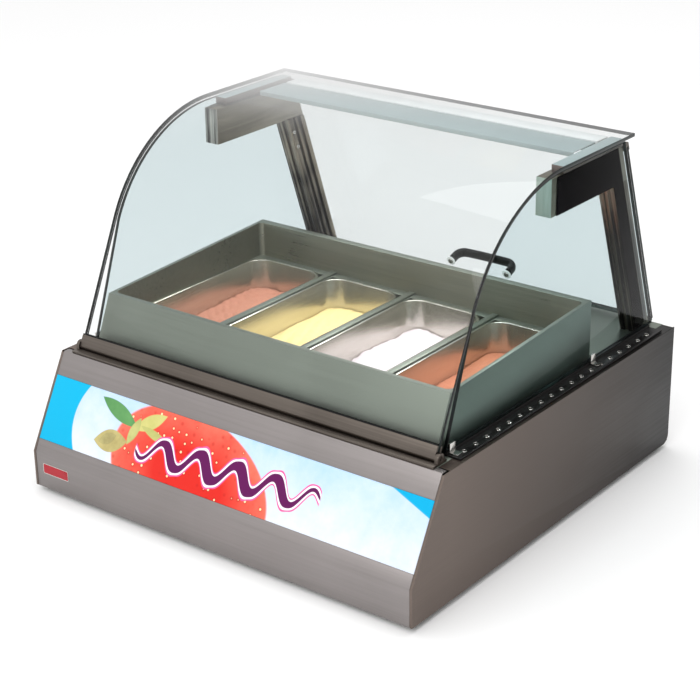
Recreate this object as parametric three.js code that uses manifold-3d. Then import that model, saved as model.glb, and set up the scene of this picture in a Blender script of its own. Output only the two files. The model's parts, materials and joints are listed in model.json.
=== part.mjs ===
// Countertop ice cream dipping cabinet with four pans, a bent front glass and a rear service flap.
// Millimetres, +Z up. While the pieces are made, x is 0 on the centre plane, y is 0 at the front
// of the plinth and grows towards the server, and z is 0 on the counter. The group moves everything
// forward by half the depth, so that the origin ends up below the middle.
import * as THREE from "three";
import { mergeVertices } from "three/addons/utils/BufferGeometryUtils.js";
import Module from "manifold-3d";

const wasm = await Module();
wasm.setup();

// ---------------------------------------------------------------- driving dimensions
const GAP = 0.3; // clearance between neighbours that touch
const SHEET = 1.5; // folded stainless sheet

const BASE = { halfWidth: 400, depth: 786, bottom: 10, top: 233, plinthTop: 75, setback: 84 };
const REACH = 806; // front of the plinth to the back of the flap handle
const LIP = 5; // fold of the side panels around the front

const SIGN = { low: 24, high: 137, thickness: 3 }; // places measured up the slanted front
const FOOT = { radius: 17, frontX: 300, rearX: 350, frontY: 48, rearY: 728 };

const PIVOT = { y: 106, z: 242.5, radius: 7, pinRadius: 3 };
const GLASS = { halfWidth: 370, thickness: 6, lean: 0.435, radius: 275, top: 608, rear: 665 };
const SIDE_GLASS = { inner: 362, outer: 368, clearance: 2.5 };

const WELL = {
  halfWidth: 355, footFront: 122, rimFront: 161, rimRear: 572,
  rimFrontZ: 324, rimRearZ: 341, bottom: 100, floor: 128,
  tank: { halfWidth: 352.5, front: 127, rear: 566 },
  inner: { halfWidth: 348, front: 170, rear: 558 }, corner: 10,
  ledge: { halfWidth: 343.4, front: 187, rear: 541, z: 276.2 },
};
const PAN = { pitch: 176, width: 164, length: 360, depth: 120, rimTop: 278, rim: 4, wall: 1.2, corner: 40 };
const PAN_Y = (WELL.ledge.front + WELL.ledge.rear) / 2;
const FILL = { top: 230, bottomGap: 0.8 };

const POST = { inner: 328, outer: 358, front: 722, rear: 769, lean: 0.345 };
const ARM = { front: 430, low: 525, high: 589, inner: 330 };
const COVER = { thickness: 1.7, front: 444, rearStrip: 16 };
const BAR = { inner: 337, front: 461, rear: 645 };

const LAMP = {
  halfWidth: 327, front: 543, rear: 612, low: 568, lip: 590, high: 598, sheet: 3, tubeRadius: 8, tubeHalf: 300,
};
const FLAP = {
  halfWidth: 360, thickness: 5, hingeY: 652, hingeZ: 588, knuckle: 4.5, offset: 6.5, bottom: 240,
};
const HANDLE = { half: 62, standOff: 26.8, bend: 15, place: 22 };

const FAN = { x: 190, z: 120, radius: 62, front: 690, motorFront: 640, condenserFront: 722 };
const COIL = { runs: 6, spacing: 60, reach: 290, turn: 40, tube: 5 };
const CONDENSER = { halfWidth: 90, depth: 40, fins: 16, finPitch: 10.7 };
const COMPRESSOR = { x: -150, y: 668, halfPlate: 75 };
const LOUVRE = { columns: 6, rows: 5, x: 20, z: 60, pitchX: 58, pitchZ: 26, width: 44, height: 7 };
const CONTROL_Z = 180;
const KNOB = { x: -340, shaft: 3, radius: 17 };
const SWITCH = { x: -270, pivot: 789, throw: 0.3 };
const INLET = { x: -232 };

const REAR_WALL = BASE.depth - SHEET; // inside of the rear panel
const DECK_EDGE = 378; // the side panels fold in over the deck as far as this
const STRIP = { outer: 393, front: 134, rear: 752, thickness: 3, holes: 19, holePitch: 31 };

// ---------------------------------------------------------------- materials
function finish(color, roughness, metalness, extra = {}) {
  return new THREE.MeshStandardMaterial({ color, roughness, metalness, ...extra });
}
const clearGlass = { transparent: true, opacity: 0.3 };
const MATERIAL = {
  casing: finish("#8c8782", 0.42, 0.8),
  stainless: finish("#a6a8a4", 0.32, 0.9),
  aluminium: finish("#97897d", 0.35, 0.9),
  black: finish("#0b090c", 0.35, 0.1),
  rubber: finish("#141414", 0.8, 0),
  glass: finish("#cfe0dc", 0.03, 0, clearGlass),
  acrylic: finish("#dcebf6", 0.25, 0),
  lamp: finish("#a9bcc0", 0.4, 0.5),
  diffuser: finish("#f4f6f4", 0.5, 0),
  light: finish("#ffffff", 0.4, 0),
  chrome: finish("#d8dadb", 0.12, 1),
  copper: finish("#b4704a", 0.35, 1),
  dark: finish("#1c1d1f", 0.5, 0.3),
  foam: finish("#e6d9a8", 0.9, 0),
  redSwitch: finish("#b01c1c", 0.3, 0),
};
const FLAVOUR = ["#d98f72", "#f4dc94", "#f2e4e8", "#dd8a66"].map((color) => finish(color, 0.7, 0));

// ---------------------------------------------------------------- shape helpers
function outline(points) {
  return new THREE.Shape(points.map(([a, b]) => new THREE.Vector2(a, b)));
}

function rectangle(x0, x1, y0, y1, radius = 0) {
  if (radius === 0) return outline([[x0, y0], [x1, y0], [x1, y1], [x0, y1]]);
  const shape = new THREE.Shape();
  shape.absarc(x1 - radius, y0 + radius, radius, -Math.PI / 2, 0);
  shape.absarc(x1 - radius, y1 - radius, radius, 0, Math.PI / 2);
  shape.absarc(x0 + radius, y1 - radius, radius, Math.PI / 2, Math.PI);
  shape.absarc(x0 + radius, y0 + radius, radius, Math.PI, Math.PI * 1.5);
  return shape;
}

function disc(x, y, radius, sides = 12) {
  const turn = (Math.PI * 2) / sides;
  const corners = Array.from({ length: sides }, (_, side) => side * turn);
  return outline(corners.map((angle) => [x + radius * Math.cos(angle), y + radius * Math.sin(angle)]));
}

function extrudeZ(shape, z0, z1, segments = 6) {
  const options = { depth: z1 - z0, bevelEnabled: false, curveSegments: segments };
  return new THREE.ExtrudeGeometry(shape, options).translate(0, 0, z0);
}

// An outline drawn in (y, z), swept from x0 to x1.
function extrudeX(shape, x0, x1, segments = 6) {
  const turn = new THREE.Matrix4().set(0, 0, 1, 0, 1, 0, 0, 0, 0, 1, 0, 0, 0, 0, 0, 1);
  return extrudeZ(shape, x0, x1, segments).applyMatrix4(turn);
}

// An outline drawn in (x, z), swept from y0 to y1.
function extrudeY(shape, y0, y1, segments = 6) {
  return extrudeZ(shape, -y1, -y0, segments).rotateX(Math.PI / 2);
}

function block(x0, x1, y0, y1, z0, z1) {
  const geometry = new THREE.BoxGeometry(x1 - x0, y1 - y0, z1 - z0);
  return geometry.translate((x0 + x1) / 2, (y0 + y1) / 2, (z0 + z1) / 2);
}

function cylinderX(radius, x0, x1, y, z, sides = 16) {
  const geometry = new THREE.CylinderGeometry(radius, radius, x1 - x0, sides);
  return geometry.rotateZ(Math.PI / 2).translate((x0 + x1) / 2, y, z);
}

function cylinderY(radius, x, y0, y1, z, sides = 16) {
  return new THREE.CylinderGeometry(radius, radius, y1 - y0, sides).translate(x, (y0 + y1) / 2, z);
}

function cylinderZ(radius, x, y, z0, z1, sides = 16) {
  const geometry = new THREE.CylinderGeometry(radius, radius, z1 - z0, sides);
  return geometry.rotateX(Math.PI / 2).translate(x, y, (z0 + z1) / 2);
}

function mirrored(geometry) {
  const copy = geometry.clone().scale(-1, 1, 1);
  const flat = copy.index ? copy.toNonIndexed() : copy;
  const place = flat.getAttribute("position");
  for (let corner = 0; corner < place.count; corner += 3) {
    const second = new THREE.Vector3().fromBufferAttribute(place, corner + 1);
    const third = new THREE.Vector3().fromBufferAttribute(place, corner + 2);
    place.setXYZ(corner + 1, third.x, third.y, third.z);
    place.setXYZ(corner + 2, second.x, second.y, second.z);
  }
  return flat;
}

function solid(geometry) {
  const bare = geometry.clone();
  bare.deleteAttribute("normal");
  bare.deleteAttribute("uv");
  const merged = mergeVertices(bare, 1e-3);
  const vertProperties = new Float32Array(merged.getAttribute("position").array);
  const triVerts = new Uint32Array(merged.getIndex().array);
  return new wasm.Manifold(new wasm.Mesh({ numProp: 3, vertProperties, triVerts }));
}

function surface(manifold) {
  const mesh = manifold.getMesh();
  const geometry = new THREE.BufferGeometry();
  geometry.setAttribute("position", new THREE.Float32BufferAttribute(mesh.vertProperties, 3));
  geometry.setIndex(new THREE.Uint32BufferAttribute(mesh.triVerts, 1));
  return geometry;
}

function combine(added, removed = []) {
  let whole = solid(added[0]);
  for (const geometry of added.slice(1)) whole = whole.add(solid(geometry));
  for (const geometry of removed) whole = whole.subtract(solid(geometry));
  return surface(whole);
}

const cabinet = new THREE.Group();
cabinet.position.y = -REACH / 2;

function place(name, geometry, material) {
  const mesh = new THREE.Mesh(geometry, material);
  mesh.name = name;
  cabinet.add(mesh);
}

// A right-hand piece and its mirror image.
function placePair(name, geometry, material) {
  place(`${name}_right`, geometry, material);
  place(`${name}_left`, mirrored(geometry), material);
}

// ---------------------------------------------------------------- slanted front
const slopeLength = Math.hypot(BASE.setback, BASE.top - BASE.plinthTop);
const slopeY = BASE.setback / slopeLength;
const slopeZ = (BASE.top - BASE.plinthTop) / slopeLength;

// The point a distance up the slanted front, and a depth behind its face.
function onFront(distance, depth = 0) {
  return [distance * slopeY + depth * slopeZ, BASE.plinthTop + distance * slopeZ - depth * slopeY];
}

// ---------------------------------------------------------------- casing
function sidePanel() {
  const corner = 16;
  const plate = outline([[BASE.depth, BASE.top], [BASE.setback, BASE.top], onFront(0), [0, BASE.bottom]]);
  plate.lineTo(BASE.depth - corner, BASE.bottom);
  plate.absarc(BASE.depth - corner, BASE.bottom + corner, corner, -Math.PI / 2, 0);
  const outer = BASE.halfWidth;
  const sheetFace = outer - SHEET;
  const frontFold = outline([
    [0, BASE.bottom], [SHEET, BASE.bottom], [SHEET, BASE.plinthTop - 0.5],
    onFront(slopeLength - 2, SHEET), onFront(slopeLength - 2), onFront(0),
  ]);
  return combine([
    extrudeX(plate, sheetFace, outer),
    extrudeX(frontFold, outer - LIP, outer - 0.5),
    block(DECK_EDGE, outer - 0.5, 100, BASE.depth - 4, BASE.top - SHEET, BASE.top),
    block(380, outer - 0.5, 20, BASE.depth - 20, BASE.bottom, BASE.bottom + SHEET),
  ]);
}

function buildCasing() {
  placePair("side_panel", sidePanel(), MATERIAL.casing);

  const between = BASE.halfWidth - SHEET - GAP;
  const low = BASE.bottom + SHEET + GAP;
  const rear = REAR_WALL - GAP;
  const tray = outline([
    [SHEET + GAP, low], [rear, low], [rear, low + 20], [rear - SHEET, low + 20],
    [rear - SHEET, low + SHEET], [SHEET * 2 + GAP, low + SHEET], [SHEET * 2 + GAP, low + 20],
    [SHEET + GAP, low + 20],
  ]);
  place("base_tray", extrudeX(tray, -between, between), MATERIAL.stainless);

  const width = BASE.halfWidth - LIP - GAP;
  const plinth = outline([
    [0, BASE.bottom], [14, BASE.bottom], [14, BASE.bottom + SHEET], [SHEET, BASE.bottom + SHEET],
    onFront(0.4, SHEET), onFront(SIGN.low - GAP, SHEET), onFront(SIGN.low - GAP), onFront(0),
  ]);
  place("front_plinth", extrudeX(plinth, -width, width), MATERIAL.casing);

  const bezel = outline([
    onFront(SIGN.high + GAP), onFront(SIGN.high + GAP, SHEET), onFront(slopeLength - 1, SHEET),
    [BASE.setback + 12, BASE.top - SHEET], [BASE.setback + 12, BASE.top], [BASE.setback, BASE.top],
  ]);
  place("front_bezel", extrudeX(bezel, -width, width), MATERIAL.casing);

  const sign = outline([
    onFront(SIGN.low), onFront(SIGN.low, SIGN.thickness),
    onFront(SIGN.high, SIGN.thickness), onFront(SIGN.high),
  ]);
  place("sign_panel", extrudeX(sign, -width, width), MATERIAL.acrylic);

  const middle = (SIGN.low + SIGN.high) / 2;
  const batten = outline([
    onFront(middle - 14, 22), onFront(middle - 10, 34),
    onFront(middle + 10, 34), onFront(middle + 14, 22),
  ]);
  place("sign_light", extrudeX(batten, -370, 370), MATERIAL.light);
}

function buildRearPanel() {
  const half = BASE.halfWidth - SHEET - GAP;
  const front = REAR_WALL - 1;
  const back = BASE.depth + 1;
  const cuts = [cylinderY(KNOB.shaft + 0.4, KNOB.x, front, back, CONTROL_Z)];
  for (const [x, halfWidth, halfHeight] of [[SWITCH.x, 12, 8.3], [INLET.x, 14.3, 10.3]]) {
    const [low, high] = [CONTROL_Z - halfHeight, CONTROL_Z + halfHeight];
    cuts.push(block(x - halfWidth, x + halfWidth, front, back, low, high));
  }
  for (let column = 0; column < LOUVRE.columns; column += 1) {
    for (let row = 0; row < LOUVRE.rows; row += 1) {
      const x = LOUVRE.x + column * LOUVRE.pitchX;
      const z = LOUVRE.z + row * LOUVRE.pitchZ;
      cuts.push(block(x, x + LOUVRE.width, front, back, z, z + LOUVRE.height));
    }
  }
  const panel = block(-half, half, REAR_WALL, BASE.depth, BASE.bottom + SHEET + GAP, BASE.top - SHEET - GAP);
  place("rear_panel", combine([panel], cuts), MATERIAL.casing);
}

function buildDeck() {
  const half = DECK_EDGE - GAP;
  const { tank } = WELL;
  const cut = tank.halfWidth + GAP;
  const sheet = block(-half, half, BASE.setback + 12 + GAP, REAR_WALL - GAP, BASE.top - SHEET, BASE.top);
  const well = block(-cut, cut, tank.front - GAP, tank.rear + GAP, BASE.top - 5, BASE.top + 5);
  place("deck", combine([sheet], [well]), MATERIAL.stainless);
}

function buildFeet() {
  const height = BASE.bottom + SHEET;
  const profile = [[0, 0], [FOOT.radius - 2, 0], [FOOT.radius, 2], [FOOT.radius - 3, height], [0, height]];
  const points = profile.map(([radius, level]) => new THREE.Vector2(radius, level));
  const corners = [["front", FOOT.frontX, FOOT.frontY], ["rear", FOOT.rearX, FOOT.rearY]];
  for (const [end, x, y] of corners) {
    const foot = new THREE.LatheGeometry(points, 20).rotateX(Math.PI / 2).translate(x, y, 0);
    placePair(`foot_${end}`, foot, MATERIAL.rubber);
  }
}

// ---------------------------------------------------------------- bent front glass
const leanY = Math.sin(GLASS.lean);
const leanZ = Math.cos(GLASS.lean);
const glassMid = GLASS.top - GLASS.thickness / 2;
const bendTangent = GLASS.radius * Math.tan((Math.PI / 2 - GLASS.lean) / 2);
const straight = (glassMid - PIVOT.z) / leanZ - bendTangent;
const bendEndY = PIVOT.y + (straight + bendTangent) * leanY + bendTangent;
const bendCentreZ = glassMid - GLASS.radius;

// The glass outline between two distances to either side of its middle surface.
function bentOutline(shape, offset, start, rear, forward) {
  const radius = GLASS.radius + offset;
  const foot = [PIVOT.y + start * leanY - offset * leanZ, PIVOT.z + start * leanZ + offset * leanY];
  const end = [rear, bendCentreZ + radius];
  if (forward) {
    shape.moveTo(...foot);
    shape.absarc(bendEndY, bendCentreZ, radius, Math.PI - GLASS.lean, Math.PI / 2, true);
    shape.lineTo(...end);
  } else {
    shape.lineTo(...end);
    shape.absarc(bendEndY, bendCentreZ, radius, Math.PI / 2, Math.PI - GLASS.lean, false);
    shape.lineTo(...foot);
  }
}

function buildFrontGlass() {
  const half = GLASS.thickness / 2;
  const pane = new THREE.Shape();
  bentOutline(pane, half, 4.5, GLASS.rear, true);
  bentOutline(pane, -half, 4.5, GLASS.rear, false);
  place("front_glass", extrudeX(pane, -GLASS.halfWidth, GLASS.halfWidth, 22), MATERIAL.glass);

  const { y, z, radius, pinRadius } = PIVOT;
  const along = (distance, side) => [
    y + distance * leanY - side * leanZ,
    z + distance * leanZ + side * leanY,
  ];
  const body = outline([along(0, radius), along(0, -radius), along(18, -radius), along(18, radius)]);
  const slot = outline([
    along(4.2, half + GAP), along(4.2, -half - GAP), along(20, -half - GAP), along(20, half + GAP),
  ]);
  const reach = GLASS.halfWidth;
  const channel = combine(
    [
      extrudeX(body, -reach, reach),
      cylinderX(radius, -reach, reach, y, z, 24),
      cylinderX(pinRadius, -reach - 5.5, reach + 5.5, y, z),
    ],
    [extrudeX(slot, -reach - 1, reach + 1)],
  );
  place("glass_channel", channel, MATERIAL.aluminium);

  const trough = radius + 0.6;
  const bed = BASE.top + GAP;
  const railHalf = DECK_EDGE - 1;
  const rail = block(-railHalf, railHalf, BASE.setback + 2, WELL.footFront - 0.6, bed, bed + 4);
  const cheek = new THREE.Shape();
  cheek.moveTo(y - 9, bed);
  cheek.lineTo(y + 9, bed);
  cheek.lineTo(y + 9, z);
  cheek.absarc(y, z, 9, 0, Math.PI);
  const cheeks = [extrudeX(cheek, reach + 1, railHalf), extrudeX(cheek, -railHalf, -reach - 1)];
  const frontRail = combine(
    [rail, ...cheeks],
    [
      cylinderX(trough, -reach - 0.9, reach + 0.9, y, z, 24),
      cylinderX(pinRadius + GAP, -railHalf - 1, railHalf + 1, y, z),
    ],
  );
  place("front_rail", frontRail, MATERIAL.aluminium);
}

// ---------------------------------------------------------------- side glass
// The front of the leaning post, and its back, at a height above the counter.
function postY(edge, z) {
  return edge - POST.lean * (z - BASE.top);
}

function buildSideGlass() {
  const inset = -GLASS.thickness / 2 - SIDE_GLASS.clearance;
  const top = GLASS.top - GLASS.thickness - SIDE_GLASS.clearance;
  const bottom = BASE.top + 8;
  const start = (bottom + 14 - PIVOT.z) / leanZ;
  const pane = new THREE.Shape();
  bentOutline(pane, inset, start, postY(POST.rear, top) - 4, true);
  pane.lineTo(postY(POST.rear, bottom) - 4, bottom);
  pane.lineTo(PIVOT.y + 26, bottom);
  placePair("side_glass", extrudeX(pane, SIDE_GLASS.inner, SIDE_GLASS.outer, 20), MATERIAL.glass);

  const bed = BASE.top + GAP;
  const { front, rear, thickness } = STRIP;
  const strip = block(SIDE_GLASS.outer + 0.5, STRIP.outer, front, rear, bed, bed + thickness);
  const seat = block(SIDE_GLASS.inner - 3, SIDE_GLASS.outer + 1, front, rear, bed, bottom - GAP);
  const holes = [];
  for (let hole = 0; hole < STRIP.holes; hole += 1) {
    const y = front + 26 + hole * STRIP.holePitch;
    holes.push(cylinderZ(3.6, STRIP.outer - 11, y, bed - 1, bed + 4, 12));
  }
  placePair("vent_strip", combine([strip, seat], holes), MATERIAL.black);

  for (const [end, y] of [["front", 144], ["rear", 556]]) {
    const low = bed + 3 + GAP;
    const face = SIDE_GLASS.outer + GAP;
    const clip = combine([
      block(face + 1, face + 17, y - 7, y + 7, low, low + 2.5),
      block(face + 1.2, face + 3.6, y - 7, y + 7, low + 1, low + 17),
      block(face, face + 3, y - 7, y + 7, bottom + GAP, low + 17),
    ]);
    placePair(`glass_clip_${end}`, clip, MATERIAL.chrome);
  }
}

// ---------------------------------------------------------------- canopy frames
function leaned(geometry) {
  const lean = POST.lean;
  const shear = new THREE.Matrix4().set(
    1, 0, 0, 0,
    0, 1, -lean, lean * BASE.top,
    0, 0, 1, 0,
    0, 0, 0, 1,
  );
  return geometry.applyMatrix4(shear);
}

function buildFrames() {
  const { inner, outer, front, rear } = POST;
  const mid = (front + rear) / 2;
  const section = outline([
    [inner, front], [inner + 9, front], [inner + 9, front + 4], [inner + 17, front + 4], [inner + 17, front],
    [outer, front], [outer, rear], [inner, rear],
    [inner, mid + 13], [inner + 6, mid + 13], [inner + 6, mid + 5], [inner, mid + 5],
    [inner, mid - 3], [inner + 6, mid - 3], [inner + 6, mid - 11], [inner, mid - 11],
  ]);
  placePair("post", leaned(extrudeZ(section, BASE.top + GAP, ARM.low - GAP)), MATERIAL.aluminium);

  const arm = outline([
    [ARM.front, ARM.low], [postY(rear, ARM.low), ARM.low],
    [postY(rear, ARM.high), ARM.high], [ARM.front, ARM.high],
  ]);
  const hollow = outline([
    [ARM.front - 1, ARM.low + 5], [postY(rear, ARM.low) - 60, ARM.low + 5],
    [postY(rear, ARM.high) - 60, ARM.high - 5], [ARM.front - 1, ARM.high - 5],
  ]);
  const beam = combine([extrudeX(arm, ARM.inner, outer)], [extrudeX(hollow, ARM.inner + 4, outer - 4)]);
  placePair("arm", beam, MATERIAL.aluminium);

  const low = BASE.top + 12;
  const strip = COVER.rearStrip;
  const cover = outline([
    [COVER.front, ARM.low], [postY(front, ARM.low), ARM.low], [postY(front, low), low],
    [postY(rear - strip, low), low], [postY(rear - strip, ARM.high), ARM.high], [COVER.front, ARM.high],
  ]);
  const face = outer + GAP;
  placePair("frame_cover", extrudeX(cover, face, face + COVER.thickness), MATERIAL.black);

  const under = GLASS.top - GLASS.thickness - GAP;
  const bar = block(BAR.inner, face + COVER.thickness, BAR.front, BAR.rear, ARM.high + GAP, under);
  placePair("glass_bar", bar, MATERIAL.aluminium);
}

// ---------------------------------------------------------------- lamp
function buildLamp() {
  const { halfWidth, front, rear, low, lip, high, tubeRadius, tubeHalf } = LAMP;
  const hood = outline([
    [front, lip], [front + SHEET, lip], [front + SHEET, high - SHEET], [rear - SHEET, high - SHEET],
    [rear - SHEET, low], [rear, low], [rear, high], [front, high],
  ]);
  place("lamp_housing", extrudeX(hood, -halfWidth, halfWidth), MATERIAL.lamp);
  const underside = (y) => lip + ((low - lip) * (y - front)) / (rear - front);
  const start = front + SHEET + GAP;
  const end = rear - SHEET - GAP;
  const opal = outline([
    [start, underside(start)], [end, underside(end)], [end, underside(end) + LAMP.sheet],
    [start, underside(start) + LAMP.sheet],
  ]);
  place("lamp_diffuser", extrudeX(opal, -halfWidth, halfWidth), MATERIAL.diffuser);
  const middle = rear - 27;
  const height = underside(middle) + LAMP.sheet + tubeRadius + 0.4;
  const tube = combine([
    cylinderX(tubeRadius, -tubeHalf, tubeHalf, middle, height, 16),
    block(-tubeHalf - 12, -tubeHalf + 6, middle - 8, middle + 8, height - 4, high - SHEET - GAP),
    block(tubeHalf - 6, tubeHalf + 12, middle - 8, middle + 8, height - 4, high - SHEET - GAP),
  ]);
  place("lamp_tube", tube, MATERIAL.light);
}

// ---------------------------------------------------------------- rear service flap
const flapTilt = Math.atan(POST.lean);
const downY = Math.sin(flapTilt);
const downZ = -Math.cos(flapTilt);

// A point down the flap from its hinge, and a distance out from its middle surface.
function onFlap(down, out) {
  const y = FLAP.hingeY + FLAP.offset * -downZ + down * downY;
  const z = FLAP.hingeZ + FLAP.offset * downY + down * downZ;
  return [y - out * downZ, z + out * downY];
}

function buildFlap() {
  const half = FLAP.thickness / 2;
  const length = (FLAP.hingeZ - FLAP.bottom) / -downZ;
  const grip = 14;
  const pane = outline([onFlap(6, -half), onFlap(length, -half), onFlap(length, half), onFlap(6, half)]);
  place("rear_flap", extrudeX(pane, -FLAP.halfWidth, FLAP.halfWidth), MATERIAL.glass);

  const body = outline([
    onFlap(0, -half - 2), onFlap(grip, -half - 2), onFlap(grip, half + 2), onFlap(0, half + 2),
  ]);
  const room = half + GAP;
  const slot = outline([
    onFlap(6 - GAP, -room), onFlap(grip + 1, -room), onFlap(grip + 1, room), onFlap(6 - GAP, room),
  ]);
  const { hingeY: y, hingeZ: z, knuckle, halfWidth } = FLAP;
  const profile = combine(
    [extrudeX(body, -halfWidth, halfWidth), cylinderX(knuckle, -halfWidth, halfWidth, y, z)],
    [extrudeX(slot, -halfWidth - 1, halfWidth + 1)],
  );
  place("flap_profile", profile, MATERIAL.aluminium);

  const rail = block(-LAMP.halfWidth, LAMP.halfWidth, LAMP.rear + 6, y, z - knuckle - 4, LAMP.high);
  const bore = cylinderX(knuckle + 0.6, -LAMP.halfWidth - 1, LAMP.halfWidth + 1, y, z, 24);
  const clear = block(-LAMP.halfWidth - 1, LAMP.halfWidth + 1, y - knuckle - 1.6, y + 1, 0, z);
  place("flap_rail", combine([rail], [bore, clear]), MATERIAL.aluminium);

  place("flap_handle", handle(length - HANDLE.place), MATERIAL.black);
}

// A bowed bar on two feet, a distance down the flap.
function handle(down) {
  const { half, standOff, bend } = HANDLE;
  const at = (x, out) => {
    const [y, z] = onFlap(down, FLAP.thickness / 2 + GAP + out);
    return new THREE.Vector3(x, y, z);
  };
  const path = new THREE.CurvePath();
  const rise = standOff - bend;
  const run = half - bend;
  path.add(new THREE.LineCurve3(at(-half, 0), at(-half, rise)));
  path.add(new THREE.QuadraticBezierCurve3(at(-half, rise), at(-half, standOff), at(-run, standOff)));
  path.add(new THREE.LineCurve3(at(-run, standOff), at(run, standOff)));
  path.add(new THREE.QuadraticBezierCurve3(at(run, standOff), at(half, standOff), at(half, rise)));
  path.add(new THREE.LineCurve3(at(half, rise), at(half, 0)));
  const section = new THREE.Shape().absellipse(0, 0, 6.5, 9.5, 0, Math.PI * 2);
  const options = { extrudePath: path, steps: 36, curveSegments: 6, bevelEnabled: false };
  return new THREE.ExtrudeGeometry(section, options);
}

// ---------------------------------------------------------------- well, dividers and pans
// The opening of the well, grown outwards by a skin.
function wellOutline({ halfWidth, front, rear }, skin, corner) {
  return rectangle(-halfWidth - skin, halfWidth + skin, front - skin, rear + skin, corner + skin);
}

// The room between the two skins of the tub, for skins of a given thickness. It is open below.
function wellJacket(skin) {
  const { inner, ledge, tank, floor, footFront, rimFront, rimRear, rimFrontZ, rimRearZ } = WELL;
  const low = BASE.top + GAP + skin;
  const casing = outline([
    [footFront + skin * 1.6, low], [rimRear - skin, low], [rimRear - skin, rimRearZ - skin],
    [rimFront + skin * 0.7, rimFrontZ - skin],
  ]);
  const side = WELL.halfWidth - skin;
  const tankSide = tank.halfWidth - skin;
  const upper = wellOutline(inner, skin, WELL.corner);
  const lower = wellOutline(ledge, skin, PAN.corner - PAN.rim);
  return combine(
    [
      extrudeX(casing, -side, side),
      block(-tankSide, tankSide, tank.front + skin, tank.rear - skin, WELL.bottom + skin - SHEET, low + 1),
    ],
    [extrudeZ(upper, ledge.z - skin, 400), extrudeZ(lower, floor - skin, ledge.z)],
  );
}

function buildWell() {
  const { inner, ledge, tank } = WELL;
  const bed = BASE.top + GAP;
  const surround = outline([
    [WELL.footFront, bed], [WELL.rimRear, bed],
    [WELL.rimRear, WELL.rimRearZ], [WELL.rimFront, WELL.rimFrontZ],
  ]);
  const box = block(-tank.halfWidth, tank.halfWidth, tank.front, tank.rear, WELL.bottom, bed + 2);
  const upper = wellOutline(inner, 0, WELL.corner);
  const lower = wellOutline(ledge, 0, PAN.corner - PAN.rim);
  const tub = combine(
    [extrudeX(surround, -WELL.halfWidth, WELL.halfWidth), box],
    [extrudeZ(upper, ledge.z, 400), extrudeZ(lower, WELL.floor, ledge.z + 1), wellJacket(SHEET)],
  );
  place("well_tub", tub, MATERIAL.stainless);
  place("insulation", wellJacket(SHEET + GAP), MATERIAL.foam);

  const top = PAN.rimTop + 2;
  const upright = outline([
    [inner.front + GAP, ledge.z + GAP], [ledge.front + GAP, ledge.z + GAP], [ledge.front + GAP, ledge.z - 8],
    [ledge.rear - GAP, ledge.z - 8], [ledge.rear - GAP, ledge.z + GAP], [inner.rear - GAP, ledge.z + GAP],
    [inner.rear - GAP, top], [inner.front + GAP, top],
  ]);
  ["left", "middle", "right"].forEach((name, index) => {
    const x = (index - 1) * PAN.pitch;
    const shelf = block(x - 9, x + 9, ledge.front + GAP, ledge.rear - GAP, ledge.z - 3, ledge.z);
    place(`divider_${name}`, combine([extrudeX(upright, x - 5.4, x + 5.4), shelf]), MATERIAL.stainless);
  });
}

function panSolid(x) {
  const halfWidth = PAN.width / 2;
  const halfLength = PAN.length / 2;
  const { rim, wall, corner, rimTop, depth } = PAN;
  const ring = (inset) => {
    const across = halfWidth - inset;
    const along = halfLength - inset;
    return rectangle(x - across, x + across, PAN_Y - along, PAN_Y + along, corner - inset);
  };
  return combine(
    [extrudeZ(ring(0), rimTop - 1.5, rimTop), extrudeZ(ring(rim), rimTop - depth, rimTop - 0.5)],
    [extrudeZ(ring(rim + wall), rimTop - depth + wall, rimTop + 1)],
  );
}

function fillSolid(x) {
  const inset = PAN.rim + PAN.wall + 0.4;
  const round = 5;
  const halfWidth = PAN.width / 2 - inset - round;
  const halfLength = PAN.length / 2 - inset - round;
  const corner = PAN.corner - inset - round;
  const shape = rectangle(x - halfWidth, x + halfWidth, PAN_Y - halfLength, PAN_Y + halfLength, corner);
  const low = PAN.rimTop - PAN.depth + PAN.wall + FILL.bottomGap;
  const options = {
    depth: FILL.top - low - round * 2, bevelEnabled: true, bevelThickness: round, bevelSize: round,
    bevelSegments: 2, curveSegments: 6,
  };
  return new THREE.ExtrudeGeometry(shape, options).translate(0, 0, low + round);
}

function buildPans() {
  FLAVOUR.forEach((flavour, index) => {
    const x = (index - 1.5) * PAN.pitch;
    place(`pan_${index + 1}`, panSolid(x), MATERIAL.stainless);
    place(`ice_cream_${index + 1}`, fillSolid(x), flavour);
  });
}

// ---------------------------------------------------------------- refrigeration
function buildEvaporator() {
  const { runs, spacing, reach, turn, tube } = COIL;
  const path = new THREE.CurvePath();
  const at = (x, y) => new THREE.Vector3(x, y, WELL.floor + 8);
  for (let run = 0; run < runs; run += 1) {
    const y = PAN_Y + (run - (runs - 1) / 2) * spacing;
    const side = run % 2 === 0 ? 1 : -1;
    const end = reach * side;
    path.add(new THREE.LineCurve3(at(-end, y), at(end, y)));
    if (run < runs - 1) {
      const out = end + turn * side;
      const next = y + spacing;
      path.add(new THREE.CubicBezierCurve3(at(end, y), at(out, y), at(out, next), at(end, next)));
    }
  }
  const section = disc(0, 0, tube, 8);
  const coil = new THREE.ExtrudeGeometry(section, { extrudePath: path, steps: 70, bevelEnabled: false });
  place("evaporator", coil, MATERIAL.copper);
}

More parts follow.
